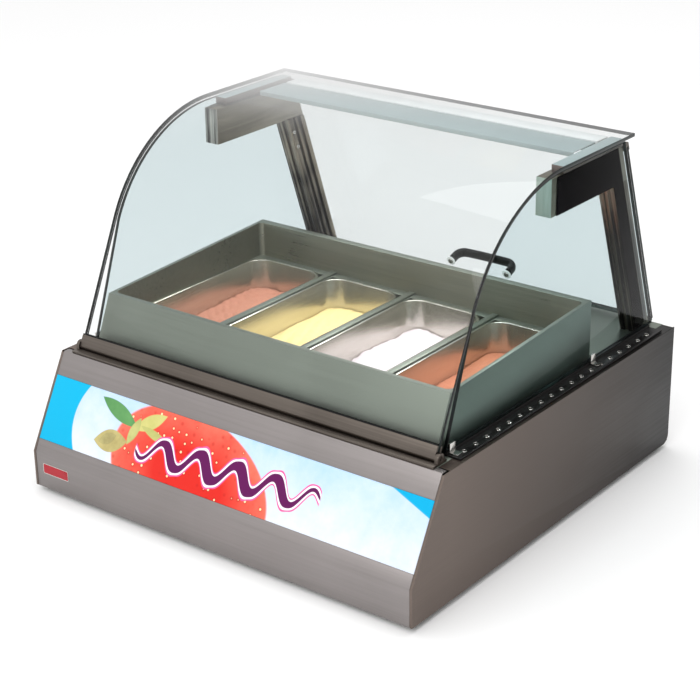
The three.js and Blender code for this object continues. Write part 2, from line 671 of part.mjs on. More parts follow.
function buildRefrigeration() {
  const floor = BASE.bottom + SHEET * 2 + GAP * 2;
  const shell = [[0, 6], [46, 6], [58, 22], [60, 60], [60, 84], [52, 118], [34, 138], [0, 144]];
  const can = new THREE.LatheGeometry(shell.map(([radius, height]) => new THREE.Vector2(radius, height)), 24);
  const { x: canX, y: canY, halfPlate } = COMPRESSOR;
  can.rotateX(Math.PI / 2).translate(canX, canY, floor);
  const plate = block(canX - halfPlate, canX + halfPlate, canY - 56, canY + 56, floor, floor + 8);
  place("compressor", combine([can, plate]), MATERIAL.dark);

  const { x, condenserFront: front } = FAN;
  const { halfWidth, depth, fins, finPitch } = CONDENSER;
  const core = block(x - halfWidth, x + halfWidth, front, front + depth, floor, floor + 190);
  const grooves = [];
  for (let fin = 0; fin < fins; fin += 1) {
    const middle = x + (fin - (fins - 1) / 2) * finPitch;
    grooves.push(block(middle - 3, middle + 3, front - 1, front + 12, floor + 26, floor + 184));
  }
  place("condenser", combine([core], grooves), MATERIAL.aluminium);
  buildFan(floor);
}

function buildFan(floor) {
  const { x, z, radius, front, motorFront } = FAN;
  const hub = [cylinderY(20, x, front, front + 22, z, 20)];
  for (let blade = 0; blade < 5; blade += 1) {
    const wing = new THREE.BoxGeometry(34, 2.4, radius - 12).rotateZ(0.5).translate(0, 0, radius / 2 + 6);
    hub.push(wing.rotateY((blade * Math.PI * 2) / 5).translate(x, front + 11, z));
  }
  const bore = cylinderY(3.3, x, front - 1, front + 12, z);
  place("condenser_fan", combine(hub, [bore]), MATERIAL.dark);

  const motor = combine([
    cylinderY(24, x, motorFront, motorFront + 40, z, 20),
    cylinderY(3, x, motorFront + 39, front + 10, z),
    block(x - 8, x + 8, motorFront + 10, motorFront + 30, floor, z),
    block(x - 50, x + 50, motorFront, motorFront + 40, floor, floor + 3),
  ]);
  place("fan_motor", motor, MATERIAL.dark);
}

// ---------------------------------------------------------------- controls on the rear panel
function buildControls() {
  const out = BASE.depth + GAP;
  const knob = combine([
    cylinderY(KNOB.radius, KNOB.x, out, out + 9, CONTROL_Z, 28),
    block(KNOB.x - 3, KNOB.x + 3, out + 8, out + 13.4, CONTROL_Z - 16, CONTROL_Z + 16),
    cylinderY(KNOB.shaft, KNOB.x, out - 12, out + 1, CONTROL_Z),
  ]);
  place("thermostat_knob", knob, MATERIAL.black);

  const bar = (x, halfWidth, halfHeight, inner, outer) => (
    block(x - halfWidth, x + halfWidth, inner, outer, CONTROL_Z - halfHeight, CONTROL_Z + halfHeight)
  );
  const plate = block(SWITCH.x - 16, INLET.x + 19, out, out + 2, CONTROL_Z - 14, CONTROL_Z + 14);
  const moulding = combine(
    [plate, bar(SWITCH.x, 11.7, 8, out - 20, out + 1), bar(INLET.x, 14, 10, out - 24, out + 1)],
    [bar(SWITCH.x, 9.5, 6, out - 8, out + 4), bar(INLET.x, 12, 8, out - 16, out + 4)],
  );
  const contacts = [-7, 0, 7].map((shift) => bar(INLET.x + shift, 1, 2.5, out - 17, out - 4));
  place("power_inlet", combine([moulding, ...contacts]), MATERIAL.black);

  const rocker = new THREE.Shape();
  rocker.moveTo(-8.6, 5);
  rocker.lineTo(-8.6, 1);
  rocker.absarc(0, 0, 3, Math.PI, Math.PI * 2);
  rocker.lineTo(8.6, 1);
  rocker.lineTo(8.6, 5);
  rocker.lineTo(0, 2.6);
  const button = extrudeZ(rocker, CONTROL_Z - 5.6, CONTROL_Z + 5.6, 5);
  button.rotateZ(-SWITCH.throw / 2).translate(SWITCH.x, SWITCH.pivot, 0);
  place("rocker_switch", button, MATERIAL.redSwitch);
}

buildCasing();
buildRearPanel();
buildDeck();
buildFeet();
buildFrontGlass();
buildSideGlass();
buildFrames();
buildLamp();
buildFlap();
buildWell();
buildPans();
buildEvaporator();
buildRefrigeration();
buildControls();

export default cabinet;
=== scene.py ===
"""Countertop ice cream dipping cabinet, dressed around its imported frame."""
import json
import logging
import math
from dataclasses import dataclass
from enum import Enum
from typing import Any, ClassVar

import bmesh
import bpy
from mathutils import Matrix, Vector, noise


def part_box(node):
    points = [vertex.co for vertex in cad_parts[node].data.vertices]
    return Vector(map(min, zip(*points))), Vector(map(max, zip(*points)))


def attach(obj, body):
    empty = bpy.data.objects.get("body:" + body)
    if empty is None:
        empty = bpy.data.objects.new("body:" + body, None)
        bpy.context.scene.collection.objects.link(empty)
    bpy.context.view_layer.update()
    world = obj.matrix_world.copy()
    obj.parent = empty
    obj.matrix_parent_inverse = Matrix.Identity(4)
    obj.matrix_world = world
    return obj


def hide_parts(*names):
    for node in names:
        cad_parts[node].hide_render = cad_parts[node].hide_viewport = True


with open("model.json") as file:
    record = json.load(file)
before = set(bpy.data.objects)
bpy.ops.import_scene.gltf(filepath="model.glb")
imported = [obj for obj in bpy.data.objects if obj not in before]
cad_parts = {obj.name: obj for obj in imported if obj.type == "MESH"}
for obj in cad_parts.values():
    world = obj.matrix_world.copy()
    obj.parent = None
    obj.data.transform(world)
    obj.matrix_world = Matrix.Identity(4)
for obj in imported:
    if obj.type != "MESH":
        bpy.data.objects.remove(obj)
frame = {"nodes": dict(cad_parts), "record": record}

LOG = logging.getLogger("cabinet")
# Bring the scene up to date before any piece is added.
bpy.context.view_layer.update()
# One millimetre in metres: pieces are modelled in millimetres and scaled once, at the end.
MM = 0.001
# How far the posts and the rear flap lean forward for each millimetre that they rise.
REAR_SLOPE = 0.345
SIDES = (("right", 1), ("left", -1))
BODY_OF = {
    node: body for body, nodes in frame["record"]["behaviour"]["bodies"].items() for node in nodes
}


# ---------------------------------------------------------------- colour and nodes
def linear(colour: str) -> tuple[float, float, float, float]:
    """Turn an sRGB hex colour into linear light.

    Args:
        colour: Six hex digits after a hash sign.

    Returns:
        Red, green, blue and an alpha of one.
    """
    parts = [int(colour[place : place + 2], 16) / 255 for place in (1, 3, 5)]
    red, green, blue = (c / 12.92 if c <= 0.04045 else ((c + 0.055) / 1.055) ** 2.4 for c in parts)
    return red, green, blue, 1.0


def add_node(
    tree: bpy.types.NodeTree,
    kind: str,
    inputs: dict[str | int, Any] | None = None,
    **settings: Any,
) -> bpy.types.Node:
    """Add a node, set it up and link it.

    Args:
        tree: The node tree that gets the node.
        kind: The node's Blender type.
        inputs: A value or another node's output for each input, by name or number.
        **settings: Properties of the node itself.

    Returns:
        The new node.
    """
    node = tree.nodes.new(kind)
    for key, value in settings.items():
        setattr(node, key, value)
    for key, value in (inputs or {}).items():
        if isinstance(value, bpy.types.NodeSocket):
            tree.links.new(value, node.inputs[key])
        else:
            node.inputs[key].default_value = value
    return node


# Sockets of the Mix node when it mixes colours.
MIX_FACTOR, MIX_FIRST, MIX_SECOND, MIX_RESULT = 0, 6, 7, 2


class Along(Enum):
    """The way that a brushed or drawn grain runs."""

    WIDTH = (1.0, 0.0, 0.0)
    DEPTH = (0.0, 1.0, 0.0)
    HEIGHT = (0.0, 0.0, 1.0)


# ---------------------------------------------------------------- finishes
@dataclass(frozen=True)
class Finish:
    """A finish that makes its material once and then hands it out."""

    name: str

    def material(self) -> bpy.types.Material:
        """Return this finish's material, making it on the first call."""
        found = bpy.data.materials.get(self.name)
        if found is not None:
            return found
        made = bpy.data.materials.new(self.name)
        made.use_nodes = True
        tree = made.node_tree
        tree.nodes.clear()
        place = add_node(tree, "ShaderNodeTexCoord").outputs["Object"]
        surface = self.surface(tree, place)
        add_node(tree, "ShaderNodeOutputMaterial", {"Surface": surface})
        return made

    def surface(self, tree: bpy.types.NodeTree, place: bpy.types.NodeSocket) -> bpy.types.NodeSocket:
        """Build the shader.

        Args:
            tree: The material's node tree.
            place: Object coordinates in metres.

        Returns:
            The shader's output socket.
        """
        raise NotImplementedError


@dataclass(frozen=True)
class GrainedMetal(Finish):
    """Sheet or extruded metal with a grain that runs one way.

    Attributes:
        dark: Colour in the troughs of the grain.
        light: Colour on its ridges.
        roughness: Middle roughness.
        along: The way that the grain runs.
        width_mm: Width of one streak, drawn coarser than real brushing so that it shows.
        length_mm: Length of one streak.
        metallic: How much of it shines as bare metal.
        stain_mm: Size of the faint cloudy patches that handling leaves.
        relief: Strength of the grain's relief.
        rear_shade: Painted shade: how much darker the rear end of a long panel is than its front end.
        spread: How soft the change from dark to light streaks is.
        tilt: Lean of the grain back from its way, in radians, for a leaning post.
        grain_share: Share of the grain in the colour; the cloudy patches have the rest.
        shade_front: Where along the depth the painted shade starts, in millimetres.
        shade_rear: Where it is complete.
    """

    dark: str
    light: str
    roughness: float = 0.36
    along: Along = Along.WIDTH
    width_mm: float = 4.0
    length_mm: float = 260.0
    metallic: float = 1.0
    stain_mm: float = 170.0
    relief: float = 0.04
    rear_shade: float = 0.0
    spread: float = 0.35
    tilt: float = 0.0
    grain_share: float = 0.55
    shade_front: float = -300.0
    shade_rear: float = 360.0

    def surface(self, tree: bpy.types.NodeTree, place: bpy.types.NodeSocket) -> bpy.types.NodeSocket:
        """Build streaked colour, roughness and bump.

        Args:
            tree: The material's node tree.
            place: Object coordinates in metres.

        Returns:
            The shader's output socket.
        """
        across = 1 / (self.width_mm * MM)
        lengthwise = 1 / (self.length_mm * MM)
        scale = [lengthwise if way else across for way in self.along.value]
        level = add_node(
            tree, "ShaderNodeVectorRotate", {"Vector": place, "Angle": -self.tilt}, rotation_type="X_AXIS"
        ).outputs[0]
        stretched = add_node(tree, "ShaderNodeMapping", {"Vector": level, "Scale": scale}).outputs[0]
        grain = add_node(
            tree, "ShaderNodeTexNoise", {"Vector": stretched, "Scale": 1.0, "Detail": 4.0, "Roughness": 0.6}
        ).outputs["Fac"]
        stain = add_node(
            tree,
            "ShaderNodeTexNoise",
            {"Vector": place, "Scale": 1 / (self.stain_mm * MM), "Detail": 3.0, "Distortion": 0.6},
        ).outputs["Fac"]
        cloudy = add_node(
            tree, "ShaderNodeMath", {0: stain, 1: 1.0 - self.grain_share}, operation="MULTIPLY"
        ).outputs[0]
        blend = add_node(
            tree, "ShaderNodeMath", {0: grain, 1: self.grain_share, 2: cloudy}, operation="MULTIPLY_ADD"
        ).outputs[0]
        streak = add_node(
            tree,
            "ShaderNodeMapRange",
            {"Value": blend, "From Min": 0.5 - self.spread, "From Max": 0.5 + self.spread},
        ).outputs["Result"]
        colour = add_node(
            tree,
            "ShaderNodeMix",
            {MIX_FACTOR: streak, MIX_FIRST: linear(self.dark), MIX_SECOND: linear(self.light)},
            data_type="RGBA",
        ).outputs[MIX_RESULT]
        # Painted shade: the colour is mixed towards near black along the depth, so a long panel darkens
        # towards its rear.
        if self.rear_shade:
            depth = add_node(tree, "ShaderNodeSeparateXYZ", {0: place}).outputs[1]
            share = add_node(
                tree,
                "ShaderNodeMapRange",
                {
                    "Value": depth, "From Min": self.shade_front * MM, "From Max": self.shade_rear * MM,
                    "To Min": 0.0, "To Max": self.rear_shade,
                },
            ).outputs["Result"]
            colour = add_node(
                tree,
                "ShaderNodeMix",
                {MIX_FACTOR: share, MIX_FIRST: colour, MIX_SECOND: linear("#050404")},
                data_type="RGBA",
            ).outputs[MIX_RESULT]
        roughness = add_node(
            tree,
            "ShaderNodeMapRange",
            {
                "Value": blend, "From Min": 0.3, "From Max": 0.7,
                "To Min": self.roughness - 0.05, "To Max": self.roughness + 0.07,
            },
        ).outputs["Result"]
        bump = add_node(
            tree, "ShaderNodeBump", {"Strength": self.relief, "Distance": 0.05 * MM, "Height": grain}
        ).outputs["Normal"]
        return add_node(
            tree,
            "ShaderNodeBsdfPrincipled",
            {"Base Color": colour, "Metallic": self.metallic, "Roughness": roughness, "Normal": bump},
        ).outputs[0]


@dataclass(frozen=True)
class Moulded(Finish):
    """A moulded, painted or rubbery skin with a fine even texture.

    Attributes:
        dark: Colour in the low spots.
        light: Colour of dust and wear on the high spots.
        roughness: Middle roughness.
        texture_mm: Size of one bump of the moulded texture.
        relief: Strength of that texture.
        metallic: How much of it shines as bare metal.
        coat: Weight of a clear top layer.
        glow: Strength of its own light, for a lit piece.
        shine: Strength of its mirror layer, 0.5 for a plain plastic.
    """

    dark: str
    light: str
    roughness: float = 0.4
    texture_mm: float = 1.2
    relief: float = 0.15
    metallic: float = 0.0
    coat: float = 0.0
    glow: float = 0.0
    shine: float = 0.5

    def surface(self, tree: bpy.types.NodeTree, place: bpy.types.NodeSocket) -> bpy.types.NodeSocket:
        """Build mottled colour, roughness and bump.

        Args:
            tree: The material's node tree.
            place: Object coordinates in metres.

        Returns:
            The shader's output socket.
        """
        texture = add_node(
            tree, "ShaderNodeTexNoise", {"Vector": place, "Scale": 1 / (self.texture_mm * MM), "Detail": 2.0}
        ).outputs["Fac"]
        wear = add_node(
            tree, "ShaderNodeTexNoise", {"Vector": place, "Scale": 1 / (35 * MM), "Detail": 5.0}
        ).outputs["Fac"]
        colour = add_node(
            tree,
            "ShaderNodeMix",
            {MIX_FACTOR: wear, MIX_FIRST: linear(self.dark), MIX_SECOND: linear(self.light)},
            data_type="RGBA",
        ).outputs[MIX_RESULT]
        roughness = add_node(
            tree,
            "ShaderNodeMapRange",
            {
                "Value": wear, "From Min": 0.3, "From Max": 0.7,
                "To Min": self.roughness - 0.06, "To Max": self.roughness + 0.08,
            },
        ).outputs["Result"]
        bump = add_node(
            tree, "ShaderNodeBump", {"Strength": self.relief, "Distance": 0.1 * MM, "Height": texture}
        ).outputs["Normal"]
        inputs = {
            "Base Color": colour, "Metallic": self.metallic, "Roughness": roughness, "Normal": bump,
            "Coat Weight": self.coat, "Coat Roughness": 0.08, "Specular IOR Level": self.shine,
        }
        if self.glow:
            inputs |= {"Emission Color": colour, "Emission Strength": self.glow}
        return add_node(tree, "ShaderNodeBsdfPrincipled", inputs).outputs[0]


@dataclass(frozen=True)
class FloatGlass(Finish):
    """Clear float glass: see-through, with a faint tint and a mirror that grows at a glancing angle.

    Attributes:
        tint: What one face of the pane lets through.
        mirror: How much a pane mirrors seen square on, from both its faces together.
        glare: How much more it mirrors at a glancing angle.
    """

    tint: str
    mirror: float = 0.07
    glare: float = 0.9

    def surface(self, tree: bpy.types.NodeTree, place: bpy.types.NodeSocket) -> bpy.types.NodeSocket:
        """Build a mix of clear and mirror by angle, with the mirror on outer faces only.

        Args:
            tree: The material's node tree.
            place: Object coordinates in metres.

        Returns:
            The shader's output socket.
        """
        haze = add_node(
            tree, "ShaderNodeTexNoise", {"Vector": place, "Scale": 1 / (90 * MM), "Detail": 3.0}
        ).outputs["Fac"]
        facing = add_node(tree, "ShaderNodeLayerWeight", {"Blend": 0.5}).outputs["Facing"]
        glance = add_node(tree, "ShaderNodeMath", {0: facing, 1: 5.0}, operation="POWER").outputs[0]
        share = add_node(
            tree, "ShaderNodeMath", {0: glance, 1: self.glare, 2: self.mirror}, operation="MULTIPLY_ADD"
        ).outputs[0]
        back = add_node(tree, "ShaderNodeNewGeometry").outputs["Backfacing"]
        outer = add_node(tree, "ShaderNodeMath", {0: 1.0, 1: back}, operation="SUBTRACT").outputs[0]
        factor = add_node(tree, "ShaderNodeMath", {0: share, 1: outer}, operation="MULTIPLY").outputs[0]
        smear = add_node(
            tree,
            "ShaderNodeMapRange",
            {"Value": haze, "From Min": 0.45, "From Max": 0.75, "To Min": 0.01, "To Max": 0.06},
        ).outputs["Result"]
        clear = add_node(tree, "ShaderNodeBsdfTransparent", {"Color": linear(self.tint)}).outputs[0]
        mirror = add_node(
            tree, "ShaderNodeBsdfGlossy", {"Color": (1.0, 1.0, 1.0, 1.0), "Roughness": smear}
        ).outputs[0]
        return add_node(tree, "ShaderNodeMixShader", {0: factor, 1: clear, 2: mirror}).outputs[0]


@dataclass(frozen=True)
class GlassEdge(Finish):
    """The ground and polished edge of float glass, deep green and glossy.

    Attributes:
        deep: Colour where the edge looks down into the pane.
        bright: Colour where it catches light.
        run_mm: Length of one lighter stretch.
    """

    deep: str
    bright: str
    run_mm: float = 80.0

    def surface(self, tree: bpy.types.NodeTree, place: bpy.types.NodeSocket) -> bpy.types.NodeSocket:
        """Build a dark gloss with lighter stretches.

        Args:
            tree: The material's node tree.
            place: Object coordinates in metres.

        Returns:
            The shader's output socket.
        """
        run = add_node(
            tree, "ShaderNodeTexNoise", {"Vector": place, "Scale": 1 / (self.run_mm * MM), "Detail": 3.0}
        ).outputs["Fac"]
        share = add_node(
            tree, "ShaderNodeMapRange", {"Value": run, "From Min": 0.42, "From Max": 0.68}
        ).outputs["Result"]
        colour = add_node(
            tree,
            "ShaderNodeMix",
            {MIX_FACTOR: share, MIX_FIRST: linear(self.deep), MIX_SECOND: linear(self.bright)},
            data_type="RGBA",
        ).outputs[MIX_RESULT]
        return add_node(
            tree,
            "ShaderNodeBsdfPrincipled",
            {"Base Color": colour, "Roughness": 0.3, "Specular IOR Level": 0.25},
        ).outputs[0]


@dataclass(frozen=True)
class IceCream(Finish):
    """Scooping ice cream: soft light inside, ripples of sauce and a frosty crystalline skin.

    Attributes:
        deep: Colour of the ripples.
        body: Colour of most of it.
        frost: Colour of the dry frozen ridges.
        ripple_mm: Size of one ripple.
        stretch: How much longer a ripple is along the pan than across it.
    """

    deep: str
    body: str
    frost: str
    ripple_mm: float = 26.0
    stretch: float = 3.0

    def surface(self, tree: bpy.types.NodeTree, place: bpy.types.NodeSocket) -> bpy.types.NodeSocket:
        """Build rippled colour over crystals.

        Args:
            tree: The material's node tree.
            place: Object coordinates in metres.

        Returns:
            The shader's output socket.
        """
        across = 1 / (self.ripple_mm * MM)
        flow = add_node(
            tree, "ShaderNodeMapping", {"Vector": place, "Scale": (across, across / self.stretch, across)}
        ).outputs[0]
        ripple = add_node(
            tree,
            "ShaderNodeTexNoise",
            {"Vector": flow, "Scale": 1.0, "Detail": 5.0, "Roughness": 0.62, "Distortion": 1.4},
        ).outputs["Fac"]
        low = add_node(
            tree, "ShaderNodeMapRange", {"Value": ripple, "From Min": 0.38, "From Max": 0.5}
        ).outputs["Result"]
        high = add_node(
            tree, "ShaderNodeMapRange", {"Value": ripple, "From Min": 0.52, "From Max": 0.63}
        ).outputs["Result"]
        mixed = add_node(
            tree,
            "ShaderNodeMix",
            {MIX_FACTOR: low, MIX_FIRST: linear(self.deep), MIX_SECOND: linear(self.body)},
            data_type="RGBA",
        ).outputs[MIX_RESULT]
        colour = add_node(
            tree,
            "ShaderNodeMix",
            {MIX_FACTOR: high, MIX_FIRST: mixed, MIX_SECOND: linear(self.frost)},
            data_type="RGBA",
        ).outputs[MIX_RESULT]
        crystals = add_node(
            tree, "ShaderNodeTexNoise", {"Vector": place, "Scale": 1 / (3.4 * MM), "Detail": 4.0}
        ).outputs["Fac"]
        grains = add_node(
            tree, "ShaderNodeBump", {"Strength": 0.5, "Distance": 0.9 * MM, "Height": crystals}
        ).outputs["Normal"]
        bump = add_node(
            tree,
            "ShaderNodeBump",
            {"Strength": 0.6, "Distance": 3.5 * MM, "Height": ripple, "Normal": grains},
        ).outputs["Normal"]
        roughness = add_node(
            tree,
            "ShaderNodeMapRange",
            {"Value": ripple, "From Min": 0.3, "From Max": 0.7, "To Min": 0.38, "To Max": 0.62},
        ).outputs["Result"]
        return add_node(
            tree,
            "ShaderNodeBsdfPrincipled",
            {
                "Base Color": colour, "Roughness": roughness, "Normal": bump,
                "Subsurface Weight": 0.12, "Subsurface Radius": (8 * MM, 5 * MM, 4 * MM),
                "Subsurface Scale": 0.6,
            },
        ).outputs[0]


@dataclass(frozen=True)
class Leaf:
    """One leaf of the printed berry, in millimetres on the sign.

    Attributes:
        x: Middle, across the sign.
        up: Middle, up the sign.
        half_length: Half its length.
        half_width: Half its width.
        turn: How far it is turned from level, in radians.
        colour: Its colour.
        lit: Colour of its lit parts.
    """

    x: float
    up: float
    half_length: float
    half_width: float
    turn: float
    colour: str
    lit: str = "#D9CF8E"


# One step of the sign's picture: the value's name, its operation, and the names or numbers that it works on.
# A MASK is a clamped multiply and add, and CELLS is the distance to the nearest of scattered points.
Step = tuple[Any, ...]


@dataclass(frozen=True)
class BacklitPrint(Finish):
    """A printed film on opal acrylic, lit from behind: ice, a berry and a plain wavy ribbon.

    Attributes:
        middle_z: Height of the sign's middle above the counter, in millimetres.
        rise: Height gained for each millimetre up the slope.
        glow: How strongly the lamp behind lights it.
        berry_size: Half width and half height of the berry.
        seed_pitch: Distance between seeds.
        ribbon_middle: Middle of the ribbon, across the sign.
        ribbon_pitch: Length of one wave of the ribbon.
        ribbon_swing: Height of a wave above its middle line.
        ribbon_half: Half the ribbon's length.
        GROUND: Colour of the plain ice.
        LEAVES: The berry's leaves and its stalk's shadow.
    """

    middle_z: float = 145.4
    rise: float = 0.883
    glow: float = 0.12
    berry_size: tuple[float, float] = (168.0, 112.0)
    seed_pitch: float = 15.0
    ribbon_middle: float = 8.0
    ribbon_pitch: float = 78.0
    ribbon_swing: float = 17.0
    ribbon_half: float = 192.0

    GROUND: ClassVar[str] = "#D3D9E3"
    LEAVES: ClassVar[tuple[Leaf, ...]] = (
        Leaf(-236, 31, 47, 13, -0.34, "#2F6A3C", "#6FA365"),
        Leaf(-166, 30, 36, 12, 0.55, "#A3A553"),
        Leaf(-196, 8, 26, 9, 1.25, "#6C8440"),
        Leaf(-150, 12, 34, 7, -0.25, "#7E8B3B"),
        Leaf(-240, -20, 36, 19, 0.2, "#6A5426"),
        Leaf(-247, -18, 19, 9, 0.5, "#3A2A12"),
    )

    def field_steps(self) -> list[Step]:
        """Return the steps for the place on the sign, its two cyan ends and the ice."""
        return [
            ("x", "MULTIPLY", "px", 1 / MM),
            ("height", "MULTIPLY_ADD", "pz", 1 / MM, -self.middle_z),
            ("up", "DIVIDE", "height", self.rise),
            ("up2", "MULTIPLY", "up", "up"),
            ("left_edge", "MULTIPLY_ADD", "up2", 0.0055, -331.0),
            ("left_room", "SUBTRACT", "left_edge", "x"),
            ("left", "MASK", "left_room", 0.5, 0.5),
            ("right_edge", "MULTIPLY_ADD", "x", 0.36, -172.0),
            ("right_room", "ADD", "right_edge", "up"),
            ("right", "MASK", "right_room", 0.5, 0.5),
            ("frost", "MULTIPLY_ADD", "up", 0.006, 0.22),
            ("frost_cloud", "MULTIPLY_ADD", "cloud", 1.1, -0.45),
            ("ice", "ADD", "frost", "frost_cloud"),
            ("ice_share", "MASK", "ice", 1.0, 0.0),
        ]

    def berry_steps(self) -> list[Step]:
        """Return the steps for the berry: a leaning oval with seeds in pits and a paler rim."""
        wide, tall = self.berry_size
        return [
            ("shear", "MULTIPLY_ADD", "up", 0.3, 74.0),
            ("berry_x", "ADD", "x", "shear"),
            ("berry_u", "DIVIDE", "berry_x", wide),
            ("berry_u2", "MULTIPLY", "berry_u", "berry_u"),
            ("berry_up", "ADD", "up", 40.0),
            ("berry_v", "DIVIDE", "berry_up", tall),
            ("berry_v2", "MULTIPLY", "berry_v", "berry_v"),
            ("berry_sum", "ADD", "berry_u2", "berry_v2"),
            ("berry_far", "SQRT", "berry_sum"),
            ("berry_in", "SUBTRACT", 1.0, "berry_far"),
            ("berry", "MASK", "berry_in", 38.0, 0.5),
            ("berry_shade", "MASK", "berry_in", 1.5, 0.15),
            ("seed_far", "CELLS", "x", "up"),
            ("seed_near", "SUBTRACT", 0.15, "seed_far"),
            ("seed_dot", "MASK", "seed_near", 30.0, 0.5),
            ("pit_near", "SUBTRACT", 0.34, "seed_far"),
            ("pit", "MASK", "pit_near", 5.0, 0.0),
            ("seed", "MULTIPLY", "seed_dot", "berry"),
            ("pit_in", "MULTIPLY", "pit", "berry"),
            ("pit_dark", "MULTIPLY", "pit_in", 0.45),
            ("berry_edge", "SUBTRACT", 1.0, "berry_shade"),
            ("berry_rim", "MULTIPLY", "berry_edge", "berry"),
            ("berry_light", "MULTIPLY", "berry_rim", "cloud"),
            ("berry_glow", "MULTIPLY", "berry_light", 1.25),
        ]

    def ribbon_steps(self) -> list[Step]:
        """Return the steps for the ribbon: a wave that swells and tapers, with two outlines."""
        return [
            ("ribbon_x", "ADD", "x", -self.ribbon_middle),
            ("phase", "MULTIPLY", "ribbon_x", math.tau / self.ribbon_pitch),
            ("swing", "SINE", "phase"),
            ("slope_raw", "COSINE", "phase"),
            ("slope", "MULTIPLY", "slope_raw", 1.35),
            ("slope2", "MULTIPLY_ADD", "slope", "slope", 1.0),
            ("steep", "SQRT", "slope2"),
            ("wave", "MULTIPLY", "swing", self.ribbon_swing),
            ("drift", "MULTIPLY_ADD", "ribbon_x", 0.03, -8.0),
            ("wave_up", "ADD", "wave", "drift"),
            ("off_raw", "SUBTRACT", "up", "wave_up"),
            ("off_abs", "ABSOLUTE", "off_raw"),
            ("off", "DIVIDE", "off_abs", "steep"),
            ("end_u", "DIVIDE", "ribbon_x", self.ribbon_half),
            ("end_u2", "MULTIPLY", "end_u", "end_u"),
            ("end_left", "SUBTRACT", 1.0, "end_u2"),
            ("end_safe", "MAXIMUM", "end_left", 0.0),
            ("end", "SQRT", "end_safe"),
            ("swell", "MULTIPLY_ADD", "slope_raw", -3.2, 8.0),
            ("core_half", "MULTIPLY", "end", "swell"),
            ("core_gap", "SUBTRACT", "core_half", "off"),
            ("core", "MASK", "core_gap", 1.2, 0.5),
            ("white_raw", "MASK", "core_gap", 1.2, 4.2),
            ("pink_raw", "MASK", "core_gap", 1.2, 7.0),
            ("inside", "MASK", "end_left", 40.0, 0.0),
            ("white", "MULTIPLY", "white_raw", "inside"),
            ("pink", "MULTIPLY", "pink_raw", "inside"),
            ("core_in", "MULTIPLY", "core", "inside"),
        ]

    def leaf_steps(self, name: str, leaf: Leaf) -> list[Step]:
        """Return the steps for one leaf: a pointed oval, and its lit parts.

        Args:
            name: The name of the leaf's mask.
            leaf: The leaf.

        Returns:
            The steps, in order.
        """
        cosine, sine = math.cos(leaf.turn), math.sin(leaf.turn)
        return [
            (f"{name}a", "MULTIPLY_ADD", "x", cosine, -leaf.x * cosine - leaf.up * sine),
            (f"{name}p", "MULTIPLY_ADD", "up", sine, f"{name}a"),
            (f"{name}b", "MULTIPLY_ADD", "x", -sine, leaf.x * sine - leaf.up * cosine),
            (f"{name}q", "MULTIPLY_ADD", "up", cosine, f"{name}b"),
            (f"{name}u", "DIVIDE", f"{name}p", leaf.half_length),
            (f"{name}u2", "MULTIPLY", f"{name}u", f"{name}u"),
            (f"{name}r", "SUBTRACT", 1.0, f"{name}u2"),
            (f"{name}w", "MULTIPLY", f"{name}r", leaf.half_width),
            (f"{name}d", "ABSOLUTE", f"{name}q"),
            (f"{name}e", "SUBTRACT", f"{name}w", f"{name}d"),
            (name, "MASK", f"{name}e", 0.7, 0.5),
            (f"{name}v", "MULTIPLY", name, "cloud"),
        ]

    def surface(self, tree: bpy.types.NodeTree, place: bpy.types.NodeSocket) -> bpy.types.NodeSocket:
        """Build the picture as layers of masks, in millimetres on the sign.

        Args:
            tree: The material's node tree.
            place: Object coordinates in metres.

        Returns:
            The shader's output socket.
        """
        split = add_node(tree, "ShaderNodeSeparateXYZ", {0: place})
        cloud = add_node(
            tree,
            "ShaderNodeTexNoise",
            {"Vector": place, "Scale": 1 / (55 * MM), "Detail": 6.0, "Roughness": 0.65},
        )
        values: dict[str, bpy.types.NodeSocket] = {
            "px": split.outputs[0], "pz": split.outputs[2], "cloud": cloud.outputs["Fac"],
        }
        steps = self.field_steps() + self.berry_steps() + self.ribbon_steps()
        layers = [
            ("ice_share", "#98BFE6"), ("left", "#00A6D0"), ("right", "#009FCC"), ("berry", "#CE2A22"),
            ("berry_glow", "#F2856E"), ("pit_dark", "#8F0A10"), ("seed", "#F7CFA0"),
        ]
        for number, leaf in enumerate(self.LEAVES):
            name = f"leaf{number}"
            steps += self.leaf_steps(name, leaf)
            layers += [(name, leaf.colour), (f"{name}v", leaf.lit)]
        layers += [("pink", "#E05A92"), ("white", "#EFE6EE"), ("core_in", "#5B1650")]
        for name, operation, *terms in steps:
            inputs = {socket: values.get(term, term) for socket, term in enumerate(terms)}
            if operation == "CELLS":
                flat = add_node(tree, "ShaderNodeCombineXYZ", inputs).outputs[0]
                values[name] = add_node(
                    tree,
                    "ShaderNodeTexVoronoi",
                    {"Vector": flat, "Scale": 1 / self.seed_pitch, "Randomness": 0.45},
                ).outputs["Distance"]
                continue
            mask = operation == "MASK"
            kind = "MULTIPLY_ADD" if mask else operation
            values[name] = add_node(
                tree, "ShaderNodeMath", inputs, operation=kind, use_clamp=mask
            ).outputs[0]
        shade: Any = linear(self.GROUND)
        for name, colour in layers:
            shade = add_node(
                tree,
                "ShaderNodeMix",
                {MIX_FACTOR: values[name], MIX_FIRST: shade, MIX_SECOND: linear(colour)},
                data_type="RGBA",
            ).outputs[MIX_RESULT]
        return add_node(
            tree,
            "ShaderNodeBsdfPrincipled",
            {
                "Base Color": shade, "Roughness": 0.4, "Specular IOR Level": 0.1,
                "Emission Color": shade, "Emission Strength": self.glow,
            },
        ).outputs[0]


# 304 stainless sheet, satin brushed and warm grey: soft wide highlights that run with the grain. The sides
# are the same steel as the front but given darker colours, painted shade, and they darken further towards
# the rear, painted shade too.
CASING_SIDE_SHADED = GrainedMetal("stainless_casing_side_shaded", "#665C56", "#7C7069", 0.42, Along.DEPTH, rear_shade=0.97)
CASING_FRONT = GrainedMetal("stainless_casing_front", "#7F7A78", "#989291", 0.44, Along.WIDTH)
